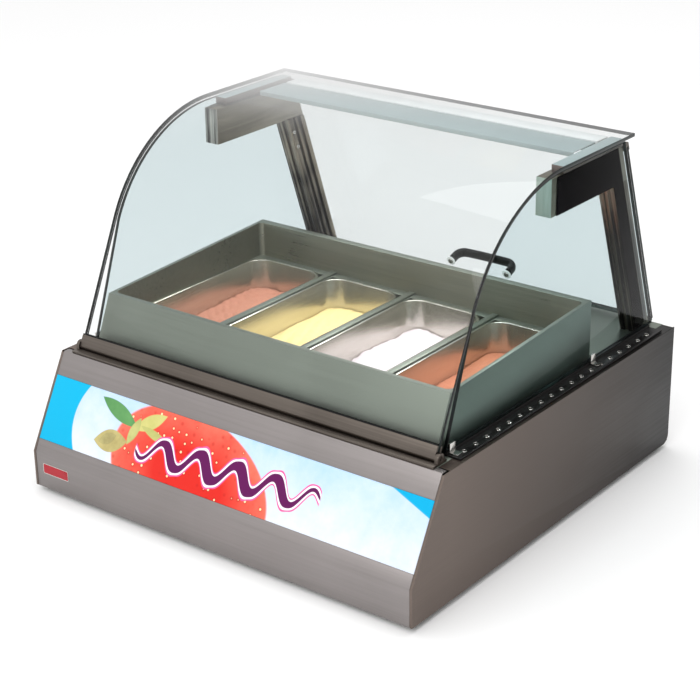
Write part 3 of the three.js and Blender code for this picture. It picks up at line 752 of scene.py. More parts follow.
# 304 stainless sheet, finer brushing, cooler: the green cast that it picks up from the glass is painted into
# its colours, a painted reflection.
WELL_STEEL = GrainedMetal("stainless_well", "#757B71", "#8C9388", 0.4, Along.WIDTH, metallic=0.8)
WELL_INSIDE = GrainedMetal("stainless_well_inside", "#75766A", "#989989", 0.3, Along.WIDTH, 5.0)
# Deep-drawn 304 stainless pan, bright satin with long soft reflections.
PAN_STEEL = GrainedMetal("stainless_pan", "#B1AFA6", "#DEDCD3", 0.2, Along.DEPTH, 5.0, 120.0, relief=0.01)
# Anodised aluminium extrusion, satin, warm: fine die lines along its length.
BRONZE_RAIL = GrainedMetal("anodised_rail", "#4C4641", "#736B64", 0.36, Along.WIDTH, 3.0, 400.0)
# On the posts the streaks are wide and sharp, near black against light: partly grain, and partly painted
# shade in the grooves and painted highlights on the ridges between them.
BRONZE_POST = GrainedMetal(
    "anodised_post", "#0B0705", "#8F8678", 0.34, Along.HEIGHT, 9.0, 2500.0,
    spread=0.07, tilt=math.atan(REAR_SLOPE),
)
BRONZE_ARM = GrainedMetal("anodised_arm", "#4A4338", "#9B9585", 0.34, Along.DEPTH, 12.0, 260.0, spread=0.25)
BRONZE_BAR = GrainedMetal("anodised_glass_bar", "#5C4E48", "#7A6A63", 0.4, Along.DEPTH, 4.0, 260.0)
PALE_CAP = GrainedMetal("anodised_end_cap", "#93A59A", "#B7C6BC", 0.42, Along.HEIGHT, 4.0, 60.0, 0.6)
# The left arm's cap is the same part as the right one's pale cap; its sharp dark and light streaks are
# painted shade and highlights of its edges.
CAP_PAINTED_STREAKS = GrainedMetal(
    "anodised_end_cap_ribbed", "#221E1B", "#C9C8C0", 0.3, Along.HEIGHT, 9.0, 400.0, spread=0.08
)
# Painted aluminium reflector of the lamp, pale blue grey, and the white paint of the hinge rail.
LAMP_PAINT = GrainedMetal("painted_lamp_housing", "#93A6A8", "#ACBCBD", 0.5, Along.WIDTH, 5.0, 300.0, 0.2)
WHITE_PAINT = Moulded("painted_white_rail", "#E3E8E8", "#F7FAFA", 0.45, 4.0, 0.05)
MILL_FIN = GrainedMetal("mill_aluminium_fins", "#8B8D8F", "#B4B6B8", 0.38, Along.HEIGHT, 3.0, 50.0)
CHROME = GrainedMetal("polished_chrome", "#B5B2AC", "#DCDAD6", 0.12, Along.WIDTH, 4.0, 60.0)
COPPER = GrainedMetal("drawn_copper_tube", "#8E4E2C", "#C9794D", 0.3, Along.WIDTH, 3.0, 80.0)
# Moulded ABS, black with a slight sheen.
BLACK_TRIM = Moulded("moulded_abs_black", "#050405", "#100D0C", 0.4, 1.4, 0.12, shine=0.3)
FAN_NYLON = Moulded("moulded_nylon_fan", "#101113", "#24262A", 0.45, 1.4, 0.1)
# Powder coat on steel, black with a plum cast and a little orange peel.
POWDER_BLACK = Moulded("powder_coat_black", "#030203", "#090508", 0.7, 2.6, 0.1, shine=0.0)
COMPRESSOR_ENAMEL = Moulded("compressor_enamel", "#08090A", "#1C1E20", 0.3, 3.0, 0.25, coat=0.3)
SEAL_RUBBER = Moulded("extruded_seal_rubber", "#060606", "#121212", 0.6, 1.0, 0.2, shine=0.2)
# Black ceramic enamel fired on the glass.
ENAMEL_BAND = Moulded("fired_black_enamel", "#020202", "#070707", 0.5, 3.0, 0.02, shine=0.1)
LIP_SEAL = Moulded("extruded_lip_seal", "#4E5E5A", "#6F807B", 0.5, 2.0, 0.1, shine=0.3)
FOOT_RUBBER = Moulded("moulded_foot_rubber", "#0C0C0C", "#232323", 0.75, 1.6, 0.4)
FOAM = Moulded("cut_polyurethane_foam", "#C9B46E", "#EADBA4", 0.9, 3.0, 0.7)
# Opal acrylic and the lamp tube behind it: even, milky and lit. The handle washers and the knob's pointer
# line share the opal finish and so glow too, painted light.
OPAL = Moulded("opal_acrylic", "#E6ECEA", "#FBFDFC", 0.4, 3.0, 0.05, glow=0.3)
TUBE_LIGHT = Moulded("lamp_tube_glass", "#F3F8FF", "#FFFFFF", 0.25, 4.0, 0.02, glow=1.0)
SWITCH_RED = Moulded("moulded_switch_red", "#7A0D12", "#B3202A", 0.25, 1.8, 0.05, coat=0.4)
# Stove enamel on a pressed badge, deep red.
BADGE_RED = Moulded("stove_enamel_red", "#8E1420", "#B01C2A", 0.3, 5.0, 0.05, shine=0.3)
# Clear float glass; the end panes are a shade bluer.
CLEAR_GLASS = FloatGlass("float_glass", "#F7F8F8", 0.025)
SIDE_GLASS = FloatGlass("float_glass_side", "#EBF1F2", 0.004, 0.25)
FLAP_GLASS = FloatGlass("float_glass_flap", "#F5F7F7", 0.02)
GLASS_EDGE = GlassEdge("float_glass_edge", "#020404", "#1B2C2A")
SIGN_PRINT = BacklitPrint("backlit_print")
FLAVOURS = (
    IceCream("ice_cream_cocoa_rose", "#96503A", "#D08C70", "#F5DCCB", 11.0, 2.2),
    IceCream("ice_cream_vanilla", "#CF9F48", "#E3C67C", "#EBDDB0", 15.0, 7.0),
    IceCream("ice_cream_cream", "#BFA4AC", "#D2C6C8", "#DEDBDA", 14.0, 1.4),
    IceCream("ice_cream_peach", "#A54B2D", "#DC8159", "#F2B795", 22.0, 5.0),
)


# ---------------------------------------------------------------- making pieces
def finish_piece(
    name: str,
    bm: bmesh.types.BMesh,
    finishes: tuple[Finish, ...],
    body: str,
    replaces: tuple[str, ...] = (),
    smooth_deg: float = 32.0,
) -> bpy.types.Object:
    """Turn a bmesh in millimetres into a piece that rides on a body.

    Args:
        name: The piece's name.
        bm: Its shape in the row frame, in millimetres; it is freed.
        finishes: Its finishes, in the order of the faces' material numbers.
        body: The CAD body that it rides on.
        replaces: The CAD nodes that it stands for.
        smooth_deg: Edges flatter than this are shaded smooth.

    Returns:
        The finished object.
    """
    bmesh.ops.scale(bm, vec=(MM, MM, MM), verts=bm.verts)
    open_edges = sum(1 for edge in bm.edges if not edge.is_manifold)
    mesh = bpy.data.meshes.new(name)
    bm.to_mesh(mesh)
    bm.free()
    piece = bpy.data.objects.new(name, mesh)
    bpy.context.scene.collection.objects.link(piece)
    for finish in finishes:
        mesh.materials.append(finish.material())
    mesh.shade_smooth()
    mesh.set_sharp_from_angle(angle=math.radians(smooth_deg))
    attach(piece, body)
    if replaces:
        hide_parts(*replaces)
    LOG.info("%s: %d faces, %d open edges, on %s", name, len(mesh.polygons), open_edges, body)
    return piece


def copy_of(node: str) -> bmesh.types.BMesh:
    """Copy a CAD node's mesh as one clean skin.

    Args:
        node: The CAD node's name.

    Returns:
        Its shape in millimetres, with doubles merged and flat faces joined.
    """
    bm = bmesh.new()
    bm.from_mesh(frame["nodes"][node].data)
    bmesh.ops.scale(bm, vec=(1 / MM, 1 / MM, 1 / MM), verts=bm.verts)
    bmesh.ops.remove_doubles(bm, verts=bm.verts, dist=0.01)
    bmesh.ops.dissolve_limit(bm, angle_limit=math.radians(0.5), verts=bm.verts, edges=bm.edges)
    return bm


def box_mm(node: str) -> tuple[Vector, Vector]:
    """Return a CAD node's lowest and highest corners in millimetres."""
    low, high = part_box(node)
    return low / MM, high / MM


def only(items: list[Any], kind: type) -> list[Any]:
    """Return the items of one kind, such as the new faces that an operator made."""
    return [item for item in items if isinstance(item, kind)]


def bevel(
    bm: bmesh.types.BMesh,
    geom: list[Any],
    width: float,
    segments: int = 2,
    affect: str = "EDGES",
    material: int = -1,
) -> None:
    """Round edges or corners with a circular profile.

    Args:
        bm: The shape, in millimetres.
        geom: The edges or corner points.
        width: Width of the rounding.
        segments: Number of faces across it.
        affect: Whether geom is edges or corner points.
        material: Material number of the new faces, or -1 for their neighbours' own.
    """
    bmesh.ops.bevel(
        bm, geom=geom, offset=width, offset_type="OFFSET", segments=segments, profile=0.5,
        affect=affect, clamp_overlap=True, material=material,
    )


def grow_faces(
    bm: bmesh.types.BMesh, faces: list[bmesh.types.BMFace], step: Vector
) -> list[bmesh.types.BMFace]:
    """Extrude faces and leave no face inside the shape.

    Args:
        bm: The shape.
        faces: The faces to extrude.
        step: How far to move the new ones.

    Returns:
        The new faces at the far end.
    """
    closed = not any(edge.is_boundary for face in faces for edge in face.edges)
    grown = bmesh.ops.extrude_face_region(bm, geom=faces)["geom"]
    if closed:
        inside = [face for face in faces if face.is_valid]
        bmesh.ops.delete(bm, geom=inside, context="FACES_ONLY")
    bmesh.ops.translate(bm, vec=step, verts=only(grown, bmesh.types.BMVert))
    return only(grown, bmesh.types.BMFace)


def drop_inner_faces(bm: bmesh.types.BMesh) -> None:
    """Merge doubles and delete the faces that are left inside a closed shape."""
    bmesh.ops.remove_doubles(bm, verts=bm.verts, dist=0.01)
    inside = [face for face in bm.faces if all(len(edge.link_faces) > 2 for edge in face.edges)]
    bmesh.ops.delete(bm, geom=inside, context="FACES_ONLY")


def soften(bm: bmesh.types.BMesh, width: float, segments: int = 2, angle_deg: float = 32.0) -> None:
    """Round the sharp edges of a shape.

    Args:
        bm: The shape, in millimetres.
        width: Width of the rounding.
        segments: Number of faces across it.
        angle_deg: Edges sharper than this are rounded.
    """
    sharp = [
        edge for edge in bm.edges
        if edge.is_manifold and edge.calc_face_angle(0.0) > math.radians(angle_deg)
    ]
    bevel(bm, sharp, width, segments)


def turned(
    profile: list[tuple[float, float]], place: Vector, axis: Vector, steps: int = 32
) -> bmesh.types.BMesh:
    """Turn a closed profile round an axis, as on a lathe.

    Args:
        profile: Points as (radius, distance along the axis), in millimetres.
        place: Where the axis starts.
        axis: Its direction.
        steps: Number of sides.

    Returns:
        The turned shape.
    """
    bm = bmesh.new()
    verts = [bm.verts.new((radius, 0.0, along)) for radius, along in profile]
    edges = [bm.edges.new(pair) for pair in zip(verts, verts[1:])]
    if profile[0][0] > 0 and profile[-1][0] > 0:
        edges.append(bm.edges.new((verts[-1], verts[0])))
    bmesh.ops.spin(
        bm, geom=verts + edges, cent=(0, 0, 0), axis=(0, 0, 1), dvec=(0, 0, 0),
        angle=math.tau, steps=steps, use_merge=True, use_normal_flip=False, use_duplicate=False,
    )
    bmesh.ops.remove_doubles(bm, verts=bm.verts, dist=1e-3)
    bmesh.ops.recalc_face_normals(bm, faces=bm.faces)
    turn = Vector((0, 0, 1)).rotation_difference(axis).to_matrix().to_4x4()
    bmesh.ops.transform(bm, matrix=Matrix.Translation(place) @ turn, verts=bm.verts)
    return bm


def join(shapes: list[bmesh.types.BMesh]) -> bmesh.types.BMesh:
    """Put several shapes into one mesh, and free them.

    Args:
        shapes: The shapes to join.

    Returns:
        One shape with all of them.
    """
    whole = bmesh.new()
    for shape in shapes:
        mesh = bpy.data.meshes.new("joining")
        shape.to_mesh(mesh)
        shape.free()
        whole.from_mesh(mesh)
        bpy.data.meshes.remove(mesh)
    return whole


def slab(low: tuple[float, float, float], high: tuple[float, float, float]) -> bmesh.types.BMesh:
    """Make a plate between two corners.

    Args:
        low: Lowest corner, in millimetres.
        high: Highest corner, in millimetres.

    Returns:
        The plate, with sharp edges.
    """
    bm = bmesh.new()
    bmesh.ops.create_cube(bm, size=1.0)
    bmesh.ops.scale(bm, vec=Vector(high) - Vector(low), verts=bm.verts)
    bmesh.ops.translate(bm, vec=(Vector(high) + Vector(low)) / 2, verts=bm.verts)
    return bm


def pan_head_screw(place: Vector, axis: Vector, radius: float = 4.2) -> bmesh.types.BMesh:
    """Make the head of a pan-head screw with a round drive recess.

    Args:
        place: Middle of its seat.
        axis: The way that it faces.
        radius: Radius of the head.

    Returns:
        The head.
    """
    profile = [
        (0.0, 0.0), (radius, 0.0), (radius, 0.35 * radius), (0.86 * radius, 0.55 * radius),
        (0.62 * radius, 0.66 * radius), (0.36 * radius, 0.68 * radius), (0.3 * radius, 0.3 * radius),
        (0.0, 0.25 * radius),
    ]
    return turned(profile, place, axis, 20)


@dataclass(frozen=True)
class FormedPart:
    """A CAD part that keeps its shape and gets rounded edges and a finish.

    Attributes:
        node: The CAD node.
        finish: Its finish.
        edge_mm: Width of the rounding on its edges.
        slot: The record's material slot; not used.
    """

    node: str
    finish: Finish
    edge_mm: float
    slot: str

    def build(self) -> bpy.types.Object:
        """Make the piece in place of its node."""
        bm = copy_of(self.node)
        if self.edge_mm:
            soften(bm, self.edge_mm)
        return finish_piece(
            f"{self.node}_formed", bm, (self.finish,), BODY_OF[self.node], (self.node,)
        )


def build_all(parts: list[FormedPart]) -> None:
    """Build each of these parts."""
    for part in parts:
        part.build()


# ---------------------------------------------------------------- sub-assemblies
@dataclass
class Casing:
    """The folded stainless casing with its sign, badge, feet and rear screws.

    Attributes:
        fold: Rounding of a folded edge.
        badge: Half width, height and thickness of the badge.
        badge_x: Middle of the badge.
        badge_z: Middle of the badge above the counter.
        recess: How far the plinth stands back, which leaves room for the badge.
        badge_corner: Radius of the badge's corners.
    """

    fold: float = 0.6
    badge: tuple[float, float, float] = (30.0, 9.5, 0.55)
    badge_x: float = -349.0
    badge_z: float = 47.5
    recess: float = 0.6
    badge_corner: float = 3.0

    def build(self) -> None:
        """Build the casing."""
        for side, _ in SIDES:
            build_all([FormedPart(f"side_panel_{side}", CASING_SIDE_SHADED, self.fold, "casing_steel")])
        build_all([
            FormedPart("front_bezel", CASING_FRONT, 0.4, "casing_steel"),
            FormedPart("rear_panel", CASING_FRONT, 0.3, "casing_steel"),
            FormedPart("deck", WELL_STEEL, 0.4, "stainless_sheet"),
            FormedPart("base_tray", WELL_STEEL, 0.4, "stainless_sheet"),
            FormedPart("sign_panel", SIGN_PRINT, 0.4, "sign_acrylic"),
            FormedPart("sign_light", TUBE_LIGHT, 1.5, "lamp_white"),
        ])
        self.build_plinth()
        self.build_badge()
        self.build_feet()
        self.build_rear_screws()

    def build_plinth(self) -> None:
        """Build the plinth, its face set back behind the badge."""
        bm = copy_of("front_plinth")
        front = min(vert.co.y for vert in bm.verts)
        face = [vert for vert in bm.verts if vert.co.y < front + 0.05]
        bmesh.ops.translate(bm, vec=(0, self.recess, 0), verts=face)
        soften(bm, 0.3)
        finish_piece(
            "front_plinth_formed", bm, (CASING_FRONT,), "cabinet", ("front_plinth",)
        )

    def build_badge(self) -> None:
        """Build a plain enamelled badge in a bright frame, with no lettering."""
        half, tall, thick = self.badge
        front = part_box("front_plinth")[0].y / MM
        for name, finish, inset, back, forward in (
            ("badge_frame", CHROME, 0.0, thick + 0.04, 0.15),
            ("badge_plate", BADGE_RED, 1.1, 0.4, 0.05),
        ):
            bm = slab(
                (self.badge_x - half + inset, front + forward, self.badge_z - tall + inset),
                (self.badge_x + half - inset, front + back, self.badge_z + tall - inset),
            )
            upright = [e for e in bm.edges if abs((e.verts[0].co - e.verts[1].co).y) > 0.1]
            bevel(bm, upright, self.badge_corner - inset, 5)
            finish_piece(name, bm, (finish,), "cabinet")

    def build_feet(self) -> None:
        """Build the four feet as turned rubber with a bolt recess."""
        for end in ("front", "rear"):
            for side, _ in SIDES:
                node = f"foot_{end}_{side}"
                low, high = box_mm(node)
                middle = (low + high) / 2
                radius = (high.x - low.x) / 2
                profile = [
                    (0.0, 3.0), (4.5, 3.0), (5.0, 0.4), (radius - 3.0, 0.0), (radius - 0.8, 0.5),
                    (radius, 2.2), (radius - 0.6, 5.0), (radius - 2.6, high.z - 0.4),
                    (radius - 3.4, high.z), (0.0, high.z),
                ]
                bm = turned(profile, Vector((middle.x, middle.y, 0.0)), Vector((0, 0, 1)), 36)
                finish_piece(f"{node}_turned", bm, (FOOT_RUBBER,), "cabinet", (node,))

    def build_rear_screws(self) -> None:
        """Build the screws that hold the rear panel."""
        low, high = box_mm("rear_panel")
        heads = []
        for share in (0.0, 0.33, 0.67, 1.0):
            for z in (low.z + 24, high.z - 10):
                x = low.x + 14 + share * (high.x - low.x - 28)
                heads.append(pan_head_screw(Vector((x, high.y, z)), Vector((0, 1, 0)), 3.6))
        finish_piece("rear_panel_screws", join(heads), (CHROME,), "cabinet")


@dataclass
class FrontGlass:
    """The bent glass in its hinged channel, the rail below it and their seals.

    Attributes:
        pivot: The hinge line as (y, z).
        lean: Lean of the flat stretch from upright, in radians.
        half_width: Half the pane's width.
        thickness: Thickness of the pane.
        start: Where the pane starts, up from the hinge.
        bend_y: The bend's middle, across the cabinet.
        bend_z: The bend's middle above the counter.
        rear: Rear edge of the pane.
        polish: Rounding of its edges.
        band: How far the black band along each end reaches in.
        bend_steps: Number of faces round the bend.
        seal_half: Half the thickness of a glazing seal.
        seal_up: The seals' place, up from the hinge.
        seal_gap: From a face of the pane to the middle of its seal.
    """

    pivot: tuple[float, float] = (-297.0, 242.5)
    lean: float = 0.435
    half_width: float = 370.0
    thickness: float = 6.0
    start: float = 4.5
    bend_y: float = 46.885
    bend_z: float = 330.0
    rear: float = 262.0
    polish: float = 0.8
    band: float = 3.6
    bend_steps: int = 44
    seal_half: float = 1.7
    seal_up: float = 19.0
    seal_gap: float = 2.1

    def build(self) -> None:
        """Build the glass and what holds it."""
        self.build_pane()
        self.build_edge_bands()
        build_all([
            FormedPart("glass_channel", BRONZE_RAIL, 0.4, "bronze_aluminium"),
            FormedPart("front_rail", BRONZE_RAIL, 0.4, "bronze_aluminium"),
        ])
        self.build_seals()

    def up_the_pane(self) -> Vector:
        """Return the direction up the flat stretch of the pane."""
        return Vector((0.0, math.sin(self.lean), math.cos(self.lean)))

    def swept(self, x_low: float, x_high: float, inner: float, outer: float) -> bmesh.types.BMesh:
        """Sweep a strip up the pane's path: a flat stretch, a bend and a flat top.

        Args:
            x_low: Left side of the strip.
            x_high: Right side of the strip.
            inner: Its inner face, out from the middle of the pane.
            outer: Its outer face, out from the middle of the pane.

        Returns:
            The closed strip.
        """
        up = self.up_the_pane()
        out = Vector((0.0, -up.z, up.y))
        bm = bmesh.new()
        bmesh.ops.create_grid(bm, x_segments=1, y_segments=1, size=0.5)
        bmesh.ops.scale(bm, vec=(x_high - x_low, outer - inner, 1.0), verts=bm.verts)
        bmesh.ops.rotate(bm, cent=(0, 0, 0), matrix=Matrix.Rotation(-self.lean, 3, "X"), verts=bm.verts)
        foot = Vector((0.0, *self.pivot)) + up * self.start
        middle = foot + Vector(((x_low + x_high) / 2, 0, 0)) + out * (inner + outer) / 2
        bmesh.ops.translate(bm, vec=middle, verts=bm.verts)
        bend = Vector((0.0, self.bend_y, self.bend_z))
        last = grow_faces(bm, bm.faces[:], up * (bend - foot).dot(up))
        turned_end = bmesh.ops.spin(
            bm, geom=[*last, *last[0].edges, *last[0].verts], cent=bend, axis=(1, 0, 0), dvec=(0, 0, 0),
            angle=self.lean - math.pi / 2, steps=self.bend_steps, use_merge=False, use_normal_flip=False,
            use_duplicate=False,
        )["geom_last"]
        end = only(turned_end, bmesh.types.BMFace)
        grow_faces(bm, end, Vector((0, self.rear - end[0].verts[0].co.y, 0)))
        drop_inner_faces(bm)
        bmesh.ops.recalc_face_normals(bm, faces=bm.faces)
        return bm

    def build_edge_bands(self) -> None:
        """Build the black enamel bands fired on the inside of the pane along its ends."""
        inner = -self.thickness / 2
        for side, way in SIDES:
            ends = sorted((way * (self.half_width - 1.0), way * (self.half_width - self.band)))
            bm = self.swept(ends[0], ends[1], inner - 0.2, inner - 0.02)
            finish_piece(f"edge_band_{side}", bm, (ENAMEL_BAND,), "bent_glass")

    def build_pane(self) -> None:
        """Build the pane, its edges polished."""
        half = self.thickness / 2
        bm = self.swept(-self.half_width, self.half_width, -half, half)
        long_edges = [
            edge for edge in bm.edges if edge.is_manifold and edge.calc_face_angle(0.0) > math.radians(45)
        ]
        for face in bm.faces:
            side = abs(face.normal.x) > 0.5
            ends = face.calc_area() < self.half_width * 2 * self.thickness * 1.05 and not side
            narrow = ends and max(e.calc_length() for e in face.edges) > self.half_width
            thin = narrow and min(e.calc_length() for e in face.edges) < self.thickness * 1.02
            face.material_index = int(side or thin)
        bevel(bm, long_edges, self.polish, material=1)
        finish_piece(
            "front_glass_bent", bm, (CLEAR_GLASS, GLASS_EDGE), "bent_glass", ("front_glass",)
        )

    def build_seals(self) -> None:
        """Build the glazing seals that close the channel on both sides of the pane."""
        up = self.up_the_pane()
        out = Vector((0.0, -up.z, up.y))
        base = Vector((0.0, *self.pivot))
        for name, side in (("glazing_seal_front", 1), ("glazing_seal_rear", -1)):
            bm = slab((-self.half_width, -self.seal_half, -0.9), (self.half_width, self.seal_half, 1.0))
            middle = base + up * self.seal_up + out * side * (self.thickness / 2 + self.seal_gap)
            turn = Matrix((Vector((1, 0, 0)), -out, up)).transposed().to_4x4()
            bmesh.ops.transform(bm, matrix=Matrix.Translation(middle) @ turn, verts=bm.verts)
            soften(bm, 0.5)
            finish_piece(name, bm, (SEAL_RUBBER,), "bent_glass")


@dataclass
class SideGlazing:
    """The fixed side panes, their vent strips, eyelets and clips.

    Attributes:
        polish: Rounding of the panes' edges.
        first_hole: The first vent hole, across the cabinet.
        hole_pitch: Distance between vent holes.
        holes: Number of vent holes on a side.
        hole_x: Vent holes' distance from the middle plane.
        eyelet_radius: Outer radius of a steel eyelet.
    """

    polish: float = 0.7
    first_hole: float = -243.0
    hole_pitch: float = 31.0
    holes: int = 19
    hole_x: float = 382.0
    eyelet_radius: float = 4.3

    def build(self) -> None:
        """Build both sides."""
        for side, way in SIDES:
            self.build_pane(side)
            build_all([
                FormedPart(f"vent_strip_{side}", BLACK_TRIM, 0.25, "black_plastic"),
                FormedPart(f"glass_clip_front_{side}", CHROME, 0.5, "clip_chrome"),
                FormedPart(f"glass_clip_rear_{side}", CHROME, 0.5, "clip_chrome"),
            ])
            self.build_eyelets(side, way)

    def build_pane(self, side: str) -> None:
        """Build one side pane with polished edges.

        Args:
            side: Which side it is on.
        """
        node = f"side_glass_{side}"
        bm = copy_of(node)
        for face in bm.faces:
            face.material_index = int(abs(face.normal.x) < 0.5)
        rims = [edge for edge in bm.edges if edge.calc_face_angle(0.0) > math.radians(60)]
        bevel(bm, rims, self.polish, material=1)
        finish_piece(f"{node}_polished", bm, (SIDE_GLASS, GLASS_EDGE), "cabinet", (node,))

    def build_eyelets(self, side: str, way: int) -> None:
        """Build the bright eyelets round the vent holes.

        Args:
            side: Which side it is on.
            way: That side's sign across the cabinet.
        """
        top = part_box(f"glass_clip_front_{side}")[0].z / MM - 0.3
        profile = [
            (2.6, -2.2), (3.3, -2.2), (3.3, -0.1), (self.eyelet_radius, 0.0), (4.0, 0.6), (3.2, 0.8),
            (2.75, 0.3),
        ]
        rings = [
            turned(
                profile,
                Vector((way * self.hole_x, self.first_hole + number * self.hole_pitch, top)),
                Vector((0, 0, 1)), 16,
            )
            for number in range(self.holes)
        ]
        finish_piece(f"vent_eyelets_{side}", join(rings), (CHROME,), "cabinet")


@dataclass
class Canopy:
    """The posts, arms, covers and bars that carry the glass and the lamp.

    Attributes:
        cap_depth: Thickness of an arm's end cap.
        rib: The two sides of the rib on a cap, in from its left side.
        rib_end: How far the rib stops short of the cap's ends.
        screws: Heights of the screws in the posts' inner faces.
        screw_radius: Radius of their heads.
        screw_inset: How far their line stands forward of a post's heel.
    """

    cap_depth: float = 2.0
    rib: tuple[float, float] = (12.0, 15.0)
    rib_end: float = 1.5
    screws: tuple[float, ...] = (468.0, 498.0)
    screw_radius: float = 4.4
    screw_inset: float = 40.5

    def build(self) -> None:
        """Build both frames."""
        for side, way in SIDES:
            build_all([
                FormedPart(f"post_{side}", BRONZE_POST, 0.5, "bronze_aluminium"),
                FormedPart(f"arm_{side}", BRONZE_ARM, 0.6, "bronze_aluminium"),
                FormedPart(f"frame_cover_{side}", POWDER_BLACK, 0.4, "black_plastic"),
            ])
            self.build_bar(side)
            self.build_cap(side, way)
            self.build_screws(side, way)

    def build_bar(self, side: str) -> None:
        """Build a glass bar, with a pale tape under the glass on its top face.

        Args:
            side: Which side it is on.
        """
        node = f"glass_bar_{side}"
        bm = copy_of(node)
        for face in bm.faces:
            face.material_index = int(face.normal.z > 0.9)
        soften(bm, 0.8)
        finish_piece(
            f"{node}_formed", bm, (BRONZE_BAR, LAMP_PAINT), "cabinet", (node,)
        )

    def build_cap(self, side: str, way: int) -> None:
        """Build the cap that closes the front end of an arm: pale on the right, and on the left with streaks
        of painted shade and highlight.

        Args:
            side: Which side it is on.
            way: That side's sign across the cabinet.
        """
        low, high = box_mm(f"arm_{side}")
        front = low.y - self.cap_depth
        bm = slab((low.x + 0.2, front, low.z + 0.3), (high.x - 0.2, low.y, high.z - 0.3))
        soften(bm, 0.6)
        rib = slab(
            (low.x + self.rib[0], front - 0.6, low.z + self.rib_end),
            (low.x + self.rib[1], front + 0.3, high.z - self.rib_end),
        )
        soften(rib, 0.2)
        # The left cap's dark and light streaks are painted shade and highlights.
        finish = PALE_CAP if way > 0 else CAP_PAINTED_STREAKS
        finish_piece(f"arm_end_cap_{side}", join([bm, rib]), (finish,), "cabinet")

    def build_screws(self, side: str, way: int) -> None:
        """Build the screws in a post's inner face.

        Args:
            side: Which side it is on.
            way: That side's sign across the cabinet.
        """
        low, high = box_mm(f"post_{side}")
        inner = low.x if way > 0 else high.x
        heads = []
        for z in self.screws:
            y = high.y - self.screw_inset - REAR_SLOPE * (z - low.z)
            heads.append(pan_head_screw(Vector((inner, y, z)), Vector((-way, 0, 0)), self.screw_radius))
        finish_piece(f"post_screws_{side}", join(heads), (CHROME,), "cabinet")


@dataclass
class Lamp:
    """The lamp housing under the glass, with its diffuser and tube.

    Attributes:
        edge: Rounding of the folded housing.
    """

    edge: float = 0.5

    def build(self) -> None:
        """Build the lamp."""
        build_all([
            FormedPart("lamp_housing", LAMP_PAINT, self.edge, "lamp_aluminium"),
            FormedPart("lamp_diffuser", OPAL, 0.5, "lamp_white"),
            FormedPart("lamp_tube", TUBE_LIGHT, 0.4, "lamp_white"),
        ])


